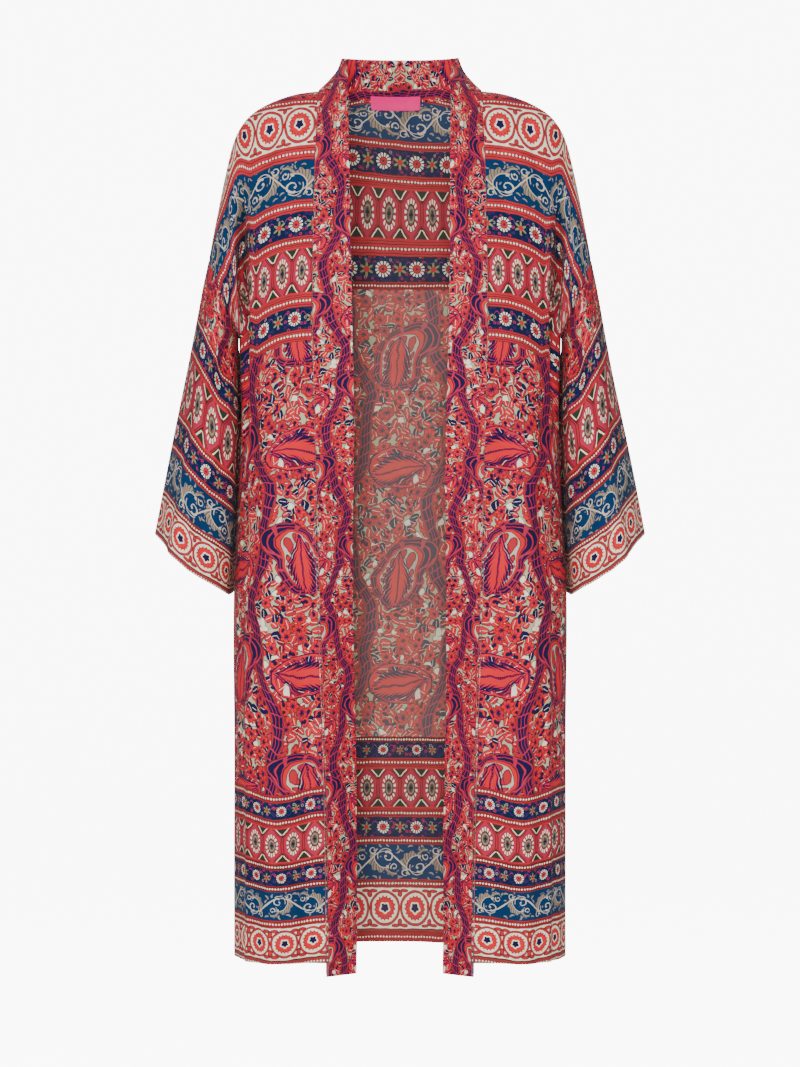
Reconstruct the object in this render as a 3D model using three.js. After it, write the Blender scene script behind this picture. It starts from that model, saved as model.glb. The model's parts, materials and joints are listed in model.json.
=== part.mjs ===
// A kimono coat, open down the front, holding the form it has when worn.
// Millimetres, +Z up. The front faces -Y, +X is the right of someone who looks at the front.
// The origin is where the coat hangs from its wearer: mid-way between the two neck points
// of the shoulders, at their height.
//
// The cut is the simple one of a kimono: a back, two fronts that reach past the shoulder point
// to a dropped armhole, two wide sleeves, and one band that runs up each front edge and round
// the back of the neck, with a seam at the centre back. Every piece is a closed wall of cloth.
import * as THREE from "three";

// Cloth and seams
const CLOTH = 1.6; // wall of the printed cloth
const BAND_CLOTH = 2.4; // the band is folded double
const LABEL_CLOTH = 0.8;
const SEAM_SHARE = 0.0005; // what a panel stops short of the shoulder line, as a share of its length
const SIDE_SEAM_SHARE = 0.0001; // and of its side seam, as a share of its width
const SLEEVE_SEAM_GAP = 0.45; // a sleeve sits this far out from its armhole
const CENTRE_BACK_GAP = 0.3; // between the two halves of the band
const BAND_SEAM_GAP = 1.1; // from a panel's edge to the band, which turns away from it
const LABEL_CLEARANCE = 1;

// Heights
const ARMPIT_Z = -300;
const HEM_Z = -1046;
const BAND_BELOW_HEM = 17;

// Neck, band and label
const NECK_HALF_WIDTH = 99;
const NECK_BACK = 60;
const NECK_DIP = 5;
const BAND_WIDTH = 46;
const LABEL = { left: -0.072, right: 0.049, top: 0.01, bottom: 0.044 }; // shares of the back

// The line along the top of the shoulder and arm, where front and back meet.
// share runs from the neck point to the top of the dropped armhole seam.
const TOP_LINE = [
  { share: 0.0, x: NECK_HALF_WIDTH, z: 0 },
  { share: 0.16, x: 130, z: -5 },
  { share: 0.32, x: 162, z: -17 },
  { share: 0.45, x: 185, z: -33 },
  { share: 0.56, x: 200, z: -57 },
  { share: 0.7, x: 211, z: -98 },
  { share: 0.85, x: 222, z: -152 },
  { share: 1.0, x: 232, z: -206 },
];

// Level sections of the body from the armpit to the hem: half width at the side seam,
// depth in front and behind, and the half width at the front edge.
const BODY_SECTIONS = [
  { z: ARMPIT_Z, side: 195, front: 121, back: 106, edge: 103 },
  { z: -420, side: 188, front: 123, back: 104, edge: 100 },
  { z: -600, side: 193, front: 125, back: 109, edge: 96 },
  { z: -800, side: 199, front: 128, back: 118, edge: 90 },
  { z: HEM_Z, side: 201, front: 131, back: 127, edge: 86 },
];
const SECTION_POWER = 2.6; // 2 is an ellipse, more is squarer

// Sleeve rings, from the armhole seam to the cuff. Each is an oval whose long way is front to
// back: its centre, the reach from the centre up to the top line, and its depths.
const SLEEVE_RINGS = [
  { along: 0, x: 213.5, z: -253, reachX: 18.5, reachZ: 47, front: 64, back: 60 },
  { along: 0.35, x: 226, z: -366, reachX: 28, reachZ: 45, front: 74, back: 70 },
  { along: 0.7, x: 240, z: -479, reachX: 38, reachZ: 41, front: 83, back: 79 },
  { along: 1, x: 252, z: -573, reachX: 45, reachZ: 37, front: 90, back: 86 },
];
const SLEEVE_WRAP = 7; // how far the sleeve's inner side folds round the body's flank
const CUFF_SAG = 7; // the cuff hangs lower in front and behind than at its folds

// How the band is turned, from the hem up the front edge (down is 1 at the hem, 0 at the
// neck point) and round the neck to the centre back (down is -1). The direction runs from
// the seam to the band's free edge, for the +X side.
const BAND_TURN = [
  { down: -1, x: 0, y: -0.12, z: 0.99 },
  { down: -0.5, x: -0.42, y: -0.08, z: 0.9 },
  { down: 0, x: -0.7, y: -0.04, z: 0.71 },
  { down: 0.14, x: -0.78, y: -0.34, z: 0.42 },
  { down: 0.3, x: -0.88, y: -0.3, z: 0.1 },
  { down: 0.46, x: -0.93, y: 0.02, z: 0 },
  { down: 0.62, x: -0.86, y: 0.36, z: 0 },
  { down: 0.8, x: -0.74, y: 0.6, z: 0 },
  { down: 1, x: -0.69, y: 0.68, z: 0 },
];

// Folds. Each follows a line over its panel between two places, [across, down] in shares of
// the panel, is twice halfWidth wide, and stands out by depth (in, if negative). fade is the
// share of the panel's length over which it rises at its start and dies at its end.
const FRONT_FOLDS = {
  right: [
    { from: [0.5, 0.16], to: [0.66, 0.56], halfWidth: 0.12, depth: -27, fade: [0.16, 0.12] },
    { from: [0.3, 0.44], to: [0.36, 1.3], halfWidth: 0.3, depth: 9, fade: [0.3, 0.1] },
    { from: [0, 0.42], to: [0, 1.3], halfWidth: 0.34, depth: -27, fade: [0.5, 0.1] },
    { from: [0.66, 0.52], to: [0.6, 1.3], halfWidth: 0.16, depth: -7, fade: [0.25, 0.1] },
  ],
  left: [
    { from: [0.49, 0.15], to: [0.67, 0.58], halfWidth: 0.12, depth: -28, fade: [0.15, 0.12] },
    { from: [0.34, 0.4], to: [0.42, 1.3], halfWidth: 0.3, depth: 9, fade: [0.3, 0.1] },
    { from: [0, 0.42], to: [0, 1.3], halfWidth: 0.34, depth: -27, fade: [0.5, 0.1] },
    { from: [0.7, 0.55], to: [0.65, 1.3], halfWidth: 0.16, depth: -7, fade: [0.22, 0.1] },
  ],
};
// across on the back runs from -1 at the left seam through 0 at the centre to 1.
const BACK_FOLDS = [
  { from: [0.62, 0.16], to: [0.76, 0.56], halfWidth: 0.1, depth: -24, fade: [0.15, 0.12] },
  { from: [-0.62, 0.16], to: [-0.745, 0.54], halfWidth: 0.1, depth: -24, fade: [0.15, 0.12] },
  { from: [0.16, 0.3], to: [0.12, 1.3], halfWidth: 0.16, depth: -11, fade: [0.4, 0.1] },
  { from: [-0.2, 0.36], to: [-0.24, 1.3], halfWidth: 0.15, depth: -10, fade: [0.4, 0.1] },
  { from: [0.42, 0.4], to: [0.44, 1.3], halfWidth: 0.15, depth: 8, fade: [0.4, 0.1] },
  { from: [-0.5, 0.42], to: [-0.52, 1.3], halfWidth: 0.15, depth: 8, fade: [0.4, 0.1] },
  { from: [0.72, 0.56], to: [0.7, 1.3], halfWidth: 0.15, depth: -4, fade: [0.3, 0.1] },
  { from: [-0.76, 0.56], to: [-0.75, 1.3], halfWidth: 0.15, depth: -4, fade: [0.3, 0.1] },
];
// across on a sleeve is 0 on the top line, 0.25 in front, 0.5 underneath and 0.75 behind.
const SLEEVE_FOLDS = [
  { from: [0.38, 0.0], to: [0.2, 0.7], halfWidth: 0.07, depth: -9, fade: [0.2, 0.3] },
  { from: [0.14, 0.3], to: [0.1, 1.3], halfWidth: 0.09, depth: -5, fade: [0.3, 0.1] },
  { from: [0.62, 0.0], to: [0.78, 0.7], halfWidth: 0.07, depth: -9, fade: [0.2, 0.3] },
  { from: [0.86, 0.35], to: [0.9, 1.3], halfWidth: 0.09, depth: -5, fade: [0.3, 0.1] },
];

// How finely each piece is divided
const ACROSS_STEPS = 16; // neck point to armhole or side seam
const CREASE_BIAS = 0.07; // draws the columns together where the underarm crease runs
const CREASE_ACROSS = 0.6;
const NECK_STEPS = 8; // centre back to neck point
const UPPER_STEPS = 12; // shoulder to armpit
const LOWER_STEPS = 14; // armpit to hem
const SLEEVE_STEPS = 10;
const BAND_ACROSS_STEPS = 3;
const LABEL_STEPS = { across: 4, down: 2 };

const UPPER_SHARE = UPPER_STEPS / (UPPER_STEPS + LOWER_STEPS); // of a panel's length
const NECK_SHARE = 0.3; // of half the back's width
const ARM_BEGINS = 0.42; // where along the top line the cloth starts to go round the arm
const ARMHOLE_FADE = 0.08; // folds die out over this share of the width before a seam
const SHOULDER_FADE = 0.06; // and over this share of the length below the shoulder line
const SLEEVE_FADE = 0.12; // and over this share of a sleeve's length
const NECK_SOFTENS = 0.35; // share of the way from the neck to the armpit level
const BACK_STRAIGHTNESS = 0.8; // 0 falls like an oval from the neck, 1 straight
const QUARTER = Math.PI / 2;
const PROBE = 1e-4; // step for tangents

const lerp = (from, to, share) => from + (to - from) * share;
const clamp01 = (value) => Math.min(1, Math.max(0, value));
const smooth = (from, to, value) => {
  const share = clamp01((value - from) / (to - from));
  return share * share * (3 - 2 * share);
};
const signedPower = (value, power) => Math.sign(value) * Math.abs(value) ** power;

// Reads one column of a table at a value of its key column, on a smooth curve.
function readTable(table, key, column, at) {
  let i = table.findIndex((row) => row[key] > at);
  if (i < 0) i = table.length - 1;
  i = Math.min(Math.max(i, 1), table.length - 1);
  const row = (k) => table[Math.min(Math.max(k, 0), table.length - 1)];
  const [before, low, high, after] = [row(i - 2), row(i - 1), row(i), row(i + 1)];
  const span = high[key] - low[key];
  const share = (at - low[key]) / span;
  const slope = (a, b) => ((b[column] - a[column]) / (b[key] - a[key] || 1)) * span;
  const m0 = slope(before, high);
  const m1 = slope(low, after);
  const [s2, s3] = [share * share, share * share * share];
  return (
    (2 * s3 - 3 * s2 + 1) * low[column] +
    (s3 - 2 * s2 + share) * m0 +
    (3 * s2 - 2 * s3) * high[column] +
    (s3 - s2) * m1
  );
}

// BODY_SECTIONS runs downwards, so it is read by depth below the origin.
const SECTIONS_BY_DEPTH = BODY_SECTIONS.map((row) => ({ ...row, depth: -row.z }));
const section = (column, z) => readTable(SECTIONS_BY_DEPTH, "depth", column, -z);

// A point of a level section of the body. turn is 0 at the centre and 1 at the side seam,
// facing is -1 in front and 1 behind.
function sectionPoint(turn, z, facing) {
  const angle = turn * QUARTER;
  const depth = facing < 0 ? section("front", z) : section("back", z);
  return new THREE.Vector3(
    section("side", z) * signedPower(Math.sin(angle), 2 / SECTION_POWER),
    facing * depth * signedPower(Math.cos(angle), 2 / SECTION_POWER),
    z,
  );
}

function topPoint(share) {
  return new THREE.Vector3(
    readTable(TOP_LINE, "share", "x", share),
    0,
    readTable(TOP_LINE, "share", "z", share),
  );
}

// From the top of the shoulder to the armpit level a column of cloth falls like a quarter of
// an oval over the chest, and goes round the arm like half an oval near the armhole seam.
function overShoulder(top, bottom, down, overArm, armDepth, straight) {
  const quarter = down * QUARTER;
  const eased = lerp(1 - Math.cos(quarter), down, straight);
  const chest = new THREE.Vector3(
    lerp(top.x, bottom.x, down * down * (3 - 2 * down)),
    lerp(top.y, bottom.y, Math.sin(quarter)),
    lerp(top.z, bottom.z, eased),
  );
  const round = (1 - Math.cos(down * Math.PI)) / 2;
  const arm = top.clone().lerp(bottom, round);
  arm.y += armDepth * Math.sin(down * Math.PI);
  return chest.lerp(arm, overArm);
}

const armShare = (share) => smooth(ARM_BEGINS, 1, share);

// The front of the coat before its folds, for the +X side. across is 0 at the front edge
// and 1 at the armhole or side seam; down is 0 on the shoulder and 1 at the hem.
function frontForm(across, down) {
  const z = lerp(ARMPIT_Z, HEM_Z, (down - UPPER_SHARE) / (1 - UPPER_SHARE));
  const level = Math.min(z, ARMPIT_Z);
  const edgeTurn =
    Math.asin((section("edge", level) / section("side", level)) ** (SECTION_POWER / 2)) / QUARTER;
  const turn = lerp(edgeTurn, 1, across);
  if (down > UPPER_SHARE) return sectionPoint(turn, z, -1);
  const bottom = sectionPoint(turn, ARMPIT_Z, -1);
  return overShoulder(
    topPoint(across), bottom, down / UPPER_SHARE, armShare(across), -SLEEVE_RINGS[0].front, 0,
  );
}

// The back of the coat before its folds. across runs from -1 to 1, 0 at the centre.
function backForm(across, down) {
  const side = across < 0 ? -1 : 1;
  const out = Math.abs(across);
  const z = lerp(ARMPIT_Z, HEM_Z, (down - UPPER_SHARE) / (1 - UPPER_SHARE));
  const point = new THREE.Vector3();
  if (down > UPPER_SHARE) {
    point.copy(sectionPoint(out, z, 1));
  } else {
    const fall = down / UPPER_SHARE;
    const shoulder = (out - NECK_SHARE) / (1 - NECK_SHARE);
    const top = shoulder > 0 ? topPoint(shoulder) : neckPoint(out / NECK_SHARE, fall);
    const straight = BACK_STRAIGHTNESS * (1 - smooth(0.4 * NECK_SHARE, 1.8 * NECK_SHARE, out));
    const bottom = sectionPoint(out, ARMPIT_Z, 1);
    const armDepth = SLEEVE_RINGS[0].back;
    point.copy(overShoulder(top, bottom, fall, armShare(shoulder), armDepth, straight));
  }
  point.x *= side;
  return point;
}

// The back neckline: share is 0 at the centre back and 1 at the neck point. It is an oval
// at the edge, and the cloth that falls from it loses the oval's corner by NECK_SOFTENS.
function neckPoint(share, fall) {
  const angle = share * QUARTER;
  const oval = Math.cos(angle);
  const flared = (1 + Math.cos(2 * angle)) / 2;
  const softened = smooth(0, NECK_SOFTENS, fall);
  const depth = lerp(oval, flared, softened);
  const width = lerp(Math.sin(angle), share, softened);
  return new THREE.Vector3(NECK_HALF_WIDTH * width, NECK_BACK * depth, -NECK_DIP * depth);
}

// Square to the armhole, away from the body.
const ARMHOLE_OUT = new THREE.Vector3(
  SLEEVE_RINGS[0].reachZ, 0, -SLEEVE_RINGS[0].reachX,
).normalize();

// A sleeve before its folds, for the +X side. across goes once round, along is 0 at the
// armhole and 1 at the cuff.
function sleeveForm(across, along) {
  const ring = (column) => readTable(SLEEVE_RINGS, "along", column, along);
  const angle = across * 2 * Math.PI;
  const [up, forward] = [Math.cos(angle), Math.sin(angle)];
  const depth = forward > 0 ? ring("front") : ring("back");
  const wrap = SLEEVE_WRAP * Math.max(0, -up) * Math.abs(forward) * 2 * smooth(0, 0.4, along);
  return new THREE.Vector3(
    ring("x") + up * ring("reachX") - wrap,
    -forward * depth,
    ring("z") + up * ring("reachZ") - CUFF_SAG * Math.abs(forward) * along,
  ).addScaledVector(ARMHOLE_OUT, SLEEVE_SEAM_GAP);
}

// How far the folds move the cloth at a place on its panel.
function foldHeight(folds, across, down) {
  let height = 0;
  for (const { from, to, halfWidth, depth, fade } of folds) {
    const share = clamp01((down - from[1]) / (to[1] - from[1]));
    const away = Math.min(1, Math.abs(across - lerp(from[0], to[0], share)) / halfWidth);
    const bell = (1 - away * away) ** 2;
    const start = smooth(0, fade[0], down - from[1]);
    const end = smooth(0, fade[1], to[1] - down);
    height += depth * bell * start * end;
  }
  return height;
}

// The outward direction of a form at a place, from two small steps over it.
function outward(form, across, down, sign) {
  const alongAcross = form(across + PROBE, down).sub(form(across - PROBE, down));
  const alongDown = form(across, down + PROBE).sub(form(across, down - PROBE));
  return alongDown.cross(alongAcross).multiplyScalar(sign).normalize();
}

// A form with its folds in it.
function folded(form, folds, sign, seamFade) {
  return (across, down) => {
    const height = foldHeight(folds, across, down) * seamFade(across, down);
    return form(across, down).addScaledVector(outward(form, across, down, sign), height);
  };
}

const steps = (from, to, count) =>
  Array.from({ length: count + 1 }, (_, i) => lerp(from, to, i / count));

// Outer points and outward directions of a cloth over lists of places.
function sampleCloth(cloth, acrosses, downs, sign) {
  return downs.map((down) =>
    acrosses.map((across) => ({
      point: cloth(across, down),
      normal: outward(cloth, across, down, sign),
    })),
  );
}

// A closed wall of cloth from its outer points. rows is a grid of {point, normal}; looped
// joins the last column to the first, as round a sleeve. facing turns the faces outwards.
function clothWall(rows, thickness, looped, facing) {
  const [downCount, acrossCount] = [rows.length, rows[0].length];
  const positions = [];
  for (const layer of [0, thickness])
    for (const row of rows)
      for (const { point, normal } of row)
        positions.push(...point.clone().addScaledVector(normal, -layer).toArray());
  const index = (layer, i, j) => (layer * downCount + i) * acrossCount + (j % acrossCount);
  const faces = [];
  const quad = (a, b, c, d) =>
    facing > 0 ? faces.push(a, b, c, a, c, d) : faces.push(a, c, b, a, d, c);
  const columns = looped ? acrossCount : acrossCount - 1;
  for (let i = 0; i < downCount - 1; i++)
    for (let j = 0; j < columns; j++) {
      quad(index(0, i, j), index(0, i + 1, j), index(0, i + 1, j + 1), index(0, i, j + 1));
      quad(index(1, i, j), index(1, i, j + 1), index(1, i + 1, j + 1), index(1, i + 1, j));
    }
  for (let j = 0; j < columns; j++) {
    const last = downCount - 1;
    quad(index(0, 0, j), index(0, 0, j + 1), index(1, 0, j + 1), index(1, 0, j));
    quad(index(0, last, j), index(1, last, j), index(1, last, j + 1), index(0, last, j + 1));
  }
  for (let i = 0; i < downCount - 1 && !looped; i++) {
    const last = acrossCount - 1;
    quad(index(0, i, 0), index(1, i, 0), index(1, i + 1, 0), index(0, i + 1, 0));
    quad(index(0, i, last), index(0, i + 1, last), index(1, i + 1, last), index(1, i, last));
  }
  const geometry = new THREE.BufferGeometry();
  geometry.setAttribute("position", new THREE.Float32BufferAttribute(positions, 3));
  geometry.setIndex(faces);
  geometry.computeVertexNormals();
  return geometry;
}

// The same rows again, and on the other side of the coat.
const FLIP = new THREE.Vector3(-1, 1, 1);
const copied = (rows) =>
  rows.map((row) =>
    row.map(({ point, normal }) => ({ point: point.clone(), normal: normal.clone() })),
  );
const mirrored = (rows) =>
  copied(rows).map((row) => {
    row.forEach(({ point, normal }) => [point, normal].forEach((vector) => vector.multiply(FLIP)));
    return row;
  });

const panelFade = (across, down) => {
  const out = Math.abs(across);
  return (1 - smooth(1 - ARMHOLE_FADE, 1, out)) * smooth(0, SHOULDER_FADE, down);
};
const sleeveFade = (across, along) => smooth(0, SLEEVE_FADE, along);

const panelRows = [
  ...steps(SEAM_SHARE, UPPER_SHARE, UPPER_STEPS),
  ...steps(UPPER_SHARE, 1, LOWER_STEPS).slice(1),
];
const towardsCrease = (share) => {
  const wave = (at) => Math.sin(2 * Math.PI * (at - CREASE_ACROSS + 0.5));
  return share + CREASE_BIAS * (wave(share) - wave(0));
};
const acrossSteps = steps(0, 1, ACROSS_STEPS).map(
  (share) => towardsCrease(share) * (1 - SIDE_SEAM_SHARE),
);
const halfBack = [
  ...steps(0, NECK_SHARE, NECK_STEPS),
  ...acrossSteps.slice(1).map((share) => lerp(NECK_SHARE, 1, share)),
];
const backAcross = [...halfBack.slice(1).map((share) => -share).reverse(), ...halfBack];

const sleeveCloth = folded(sleeveForm, SLEEVE_FOLDS, -1, sleeveFade);
const sleeveAround = steps(0, 1, 2 * UPPER_STEPS).slice(0, -1);
const sleeveRows = sampleCloth(sleeveCloth, sleeveAround, steps(0, 1, SLEEVE_STEPS), -1);

// Walls that meet at a seam end face to face. On the shoulder line and the side seam both
// turn straight out from the coat's middle plane, round the armhole both turn half-way
// between panel and sleeve, and at the armpit, where the cloth doubles back, away from the
// middle of the armhole.
// column is the panel's seam column, sign its side of the coat, facing -1 in front, 1 behind.
function alignSeams(rows, column, sign, facing) {
  const count = sleeveAround.length;
  for (const { point, normal } of rows[0])
    if (Math.abs(point.x) >= NECK_HALF_WIDTH) normal.setY(0).normalize();
  rows.slice(0, UPPER_STEPS).forEach((row, i) => {
    const { normal } = row[column];
    const ofSleeve = sleeveRows[0][(count - facing * i) % count].normal.clone();
    ofSleeve.x *= sign;
    if (i === 0) normal.copy(ofSleeve).setY(0).normalize();
    else normal.add(ofSleeve).normalize();
  });
  const { reachX, reachZ } = SLEEVE_RINGS[0];
  rows[UPPER_STEPS][column].normal.set(-sign * reachX, 0, -reachZ).normalize();
  for (const row of rows.slice(UPPER_STEPS + 1)) row[column].normal.set(sign, 0, 0);
}

const backCloth = folded(backForm, BACK_FOLDS, -1, panelFade);
const backRows = sampleCloth(backCloth, backAcross, panelRows, -1);
alignSeams(backRows, 0, -1, 1);
alignSeams(backRows, backAcross.length - 1, 1, 1);

const frontRows = {};
for (const side of ["left", "right"]) {
  const frontCloth = folded(frontForm, FRONT_FOLDS[side], 1, panelFade);
  const rows = sampleCloth(frontCloth, acrossSteps, panelRows, 1);
  alignSeams(rows, acrossSteps.length - 1, 1, -1);
  frontRows[side] = side === "left" ? mirrored(rows) : rows;
}

// A sleeve's first ring has the walls of front and back as its neighbours.
function sleeveOf(side) {
  const rows = side === "left" ? mirrored(sleeveRows) : copied(sleeveRows);
  const seam = side === "left" ? 0 : backAcross.length - 1;
  const inFront = frontRows[side].slice(0, UPPER_STEPS + 1).map((row) => row.at(-1));
  const behind = backRows.slice(1, UPPER_STEPS).map((row) => row[seam]);
  const armhole = [...inFront, ...behind.reverse()];
  rows[0].forEach((place, i) => place.normal.copy(armhole[i].normal));
  return rows;
}

// The band: a folded strip along the front edge, from below the hem to the neck point, and
// on round the neck to the centre back.
function bandGeometry(side) {
  const sign = side === "left" ? -1 : 1;
  const centre = halfBack.length - 1;
  const onFront = frontRows[side].map((row, i) => ({
    down: panelRows[i],
    seam: row[0].point.clone().addScaledVector(row[0].normal, -CLOTH / 2),
  }));
  const onNeck = steps(0, 1, NECK_STEPS).slice(1).map((share, i) => {
    const place = backRows[0][centre + sign * (NECK_STEPS - 1 - i)];
    const seam = place.point.clone().addScaledVector(place.normal, -CLOTH / 2);
    return { down: -share, seam };
  });
  const hem = onFront.at(-1);
  const below = { down: 1, seam: hem.seam.clone().setZ(hem.seam.z - BAND_BELOW_HEM) };
  const path = [below, ...onFront.reverse(), ...onNeck];
  const half = BAND_CLOTH / 2;
  const rows = path.map(({ down, seam }, i) => {
    const before = path[Math.max(i - 1, 0)].seam;
    const after = path[Math.min(i + 1, path.length - 1)].seam;
    const along = after.clone().sub(before).normalize();
    if (i === path.length - 1) along.set(-sign, 0, 0);
    const turn = (column) => readTable(BAND_TURN, "down", column, down);
    const across = new THREE.Vector3(sign * turn("x"), turn("y"), turn("z"));
    across.addScaledVector(along, -across.dot(along)).normalize();
    const normal = along.clone().cross(across).multiplyScalar(sign).normalize();
    return steps(BAND_SEAM_GAP, BAND_WIDTH, BAND_ACROSS_STEPS).map((width) => {
      const point = seam.clone().addScaledVector(across, width).addScaledVector(normal, half);
      if (i === path.length - 1) point.x = (sign * CENTRE_BACK_GAP) / 2;
      return { point, normal };
    });
  });
  return clothWall(rows, BAND_CLOTH, false, sign);
}

// The woven label, sewn by its top edge under the back neck seam, on the inside.
function labelGeometry() {
  const { left, right, top, bottom } = LABEL;
  const acrosses = steps(left, right, LABEL_STEPS.across);
  const rows = sampleCloth(backCloth, acrosses, steps(top, bottom, LABEL_STEPS.down), -1);
  for (const row of rows)
    for (const { point, normal } of row)
      point.addScaledVector(normal, -(CLOTH + LABEL_CLEARANCE));
  return clothWall(rows, LABEL_CLOTH, false, -1);
}

const PRINTED_CLOTH = { color: 0xb8434a, roughness: 0.85, metalness: 0 };
const BAND_FINISH = { color: 0xa93c50, roughness: 0.85, metalness: 0 };
const LABEL_SATIN = { color: 0xf0509a, roughness: 0.5, metalness: 0 };

function piece(name, geometry, finish) {
  const mesh = new THREE.Mesh(geometry, new THREE.MeshStandardMaterial(finish));
  mesh.name = name;
  return mesh;
}

const coat = new THREE.Group();
coat.add(piece("back", clothWall(backRows, CLOTH, false, -1), PRINTED_CLOTH));
for (const side of ["left", "right"]) {
  const sign = side === "left" ? -1 : 1;
  coat.add(piece(`front_${side}`, clothWall(frontRows[side], CLOTH, false, sign), PRINTED_CLOTH));
  coat.add(piece(`sleeve_${side}`, clothWall(sleeveOf(side), CLOTH, true, -sign), PRINTED_CLOTH));
  coat.add(piece(`band_${side}`, bandGeometry(side), BAND_FINISH));
}
coat.add(piece("neck_label", labelGeometry(), LABEL_SATIN));

export default coat;
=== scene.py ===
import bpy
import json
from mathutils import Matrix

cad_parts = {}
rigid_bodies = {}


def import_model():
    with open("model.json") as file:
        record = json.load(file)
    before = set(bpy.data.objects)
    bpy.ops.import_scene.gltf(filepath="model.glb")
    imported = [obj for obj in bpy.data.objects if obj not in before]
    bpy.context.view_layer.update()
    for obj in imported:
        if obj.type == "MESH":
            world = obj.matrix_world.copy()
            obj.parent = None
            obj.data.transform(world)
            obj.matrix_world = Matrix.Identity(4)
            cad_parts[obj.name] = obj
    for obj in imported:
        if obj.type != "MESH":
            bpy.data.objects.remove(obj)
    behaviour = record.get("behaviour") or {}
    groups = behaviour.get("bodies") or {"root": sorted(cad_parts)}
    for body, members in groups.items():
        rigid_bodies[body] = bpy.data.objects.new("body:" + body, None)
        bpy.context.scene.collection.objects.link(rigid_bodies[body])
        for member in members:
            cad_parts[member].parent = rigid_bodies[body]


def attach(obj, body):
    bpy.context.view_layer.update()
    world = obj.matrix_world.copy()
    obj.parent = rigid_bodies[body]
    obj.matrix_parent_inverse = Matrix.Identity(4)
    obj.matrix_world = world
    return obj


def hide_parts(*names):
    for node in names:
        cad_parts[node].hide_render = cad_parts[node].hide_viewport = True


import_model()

"""A kimono coat, open down the front, holding the form it has when worn.

Sizes are in millimetres and become metres when a mesh is made. +Z is up, the front faces -Y and
+X is the right of someone who looks at the front. Each cloth piece is a thin sheet on the form of
its solid, with finer folds and its own cloth coordinates, on which the printed borders lie.
"""

import json
import logging
import math
from collections.abc import Callable
from dataclasses import dataclass
from enum import Enum

import bpy
import numpy as np

LOG = logging.getLogger("kimono_coat")
MM = 0.001
QUARTER = math.pi / 2
PROBE = 1e-4  # step for tangents, as a share of a panel

# Heights and sizes of the cut, in millimetres
ARMPIT_Z = -300.0
HEM_Z = -1046.0
BAND_BELOW_HEM = 16.5
NECK_HALF_WIDTH = 99.0
NECK_BACK = 60.0
NECK_DIP = 5.0
BAND_WIDTH = 47.5
SECTION_POWER = 2.6
SLEEVE_LENGTH = 336.0
# The underside of a sleeve comes in towards the body, in front and behind, over a share of its
# length from the armhole
FRONT_WRAP = 14.0
FRONT_WRAP_SHARE = 0.4
BACK_WRAP = 44.8
BACK_WRAP_SHARE = 0.19
CUFF_SAG = 7.0
UPPER_SHARE = 12 / 26  # of a panel's length, shoulder to armpit
NECK_SHARE = 0.3  # of half the back's width
ARM_BEGINS = 0.42
FRONT_ARM_DEPTH = -64.0  # how far the armhole swings forwards and back
BACK_ARM_DEPTH = 60.0
BACK_STRAIGHTNESS = 0.8
NECK_SOFTENS = 0.35

# Sheets
INSET = 0.35  # the sheet's outer side lies this far inside the solid's
CLOTH = 0.6
SEAM_GROOVE = 0.5
SEAM_WIDTH = 5.0
RIPPLE_BEGINS = 40.0  # ripples are whole this far from a seam
HEM_TURN_UP = 13.0
HEM_GAP = 0.25
HEM_ROUND_STEPS = 4  # rows round the fold of a hem, and on its turned-up part
HEM_UP_STEPS = 4
SMOOTH_BELOW = 62  # degrees between faces
OTHER_SIDE = np.array([-1.0, 1.0, 1.0])

Array = np.ndarray
Form = Callable[[Array, Array], Array]


def smooth(low: float, high: float, value: Array) -> Array:
    """Rises softly from 0 at low to 1 at high.

    Args:
        low: Where the rise starts.
        high: Where it ends.
        value: The values to read it at.

    Returns:
        The share risen at each value.
    """
    share = np.clip((value - low) / (high - low), 0.0, 1.0)
    return share * share * (3 - 2 * share)


def lerp(low: Array, high: Array, share: Array) -> Array:
    """Returns the value at a share of the way from low to high."""
    return low + (high - low) * share


def unit(vectors: Array) -> Array:
    """Returns the vectors at length 1."""
    length = np.linalg.norm(vectors, axis=-1, keepdims=True)
    return vectors / np.maximum(length, 1e-12)


def stack(x: Array, y: Array, z: Array) -> Array:
    """Returns points from their three coordinates."""
    return np.stack(np.broadcast_arrays(x, y, z), axis=-1).astype(float)


def signed_power(value: Array, power: float) -> Array:
    """Returns value to a power, with its sign kept."""
    return np.sign(value) * np.abs(value) ** power


class Table:
    """A short table of sizes, read on a smooth curve through its rows."""

    def __init__(self, columns: str, *rows: tuple[float, ...]) -> None:
        """Keeps the rows by column name; the first column is the key."""
        names = columns.split()
        self.columns = {name: np.array(values) for name, values in zip(names, zip(*rows))}
        self.key = self.columns[names[0]]

    def read(self, column: str, at: Array) -> Array:
        """Reads one column at values of the key.

        Args:
            column: The column's name.
            at: Values of the key.

        Returns:
            The column's values there.
        """
        key, values = self.key, self.columns[column]
        last = len(key) - 1
        high = np.clip(np.searchsorted(key, at, side="right"), 1, last)
        low = high - 1
        before, after = np.maximum(high - 2, 0), np.minimum(high + 1, last)
        span = key[high] - key[low]
        share = (at - key[low]) / span
        m0 = (values[high] - values[before]) / (key[high] - key[before]) * span
        m1 = (values[after] - values[low]) / (key[after] - key[low]) * span
        s2, s3 = share**2, share**3
        return (
            (2 * s3 - 3 * s2 + 1) * values[low]
            + (s3 - 2 * s2 + share) * m0
            + (3 * s2 - 2 * s3) * values[high]
            + (s3 - s2) * m1
        )


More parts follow.
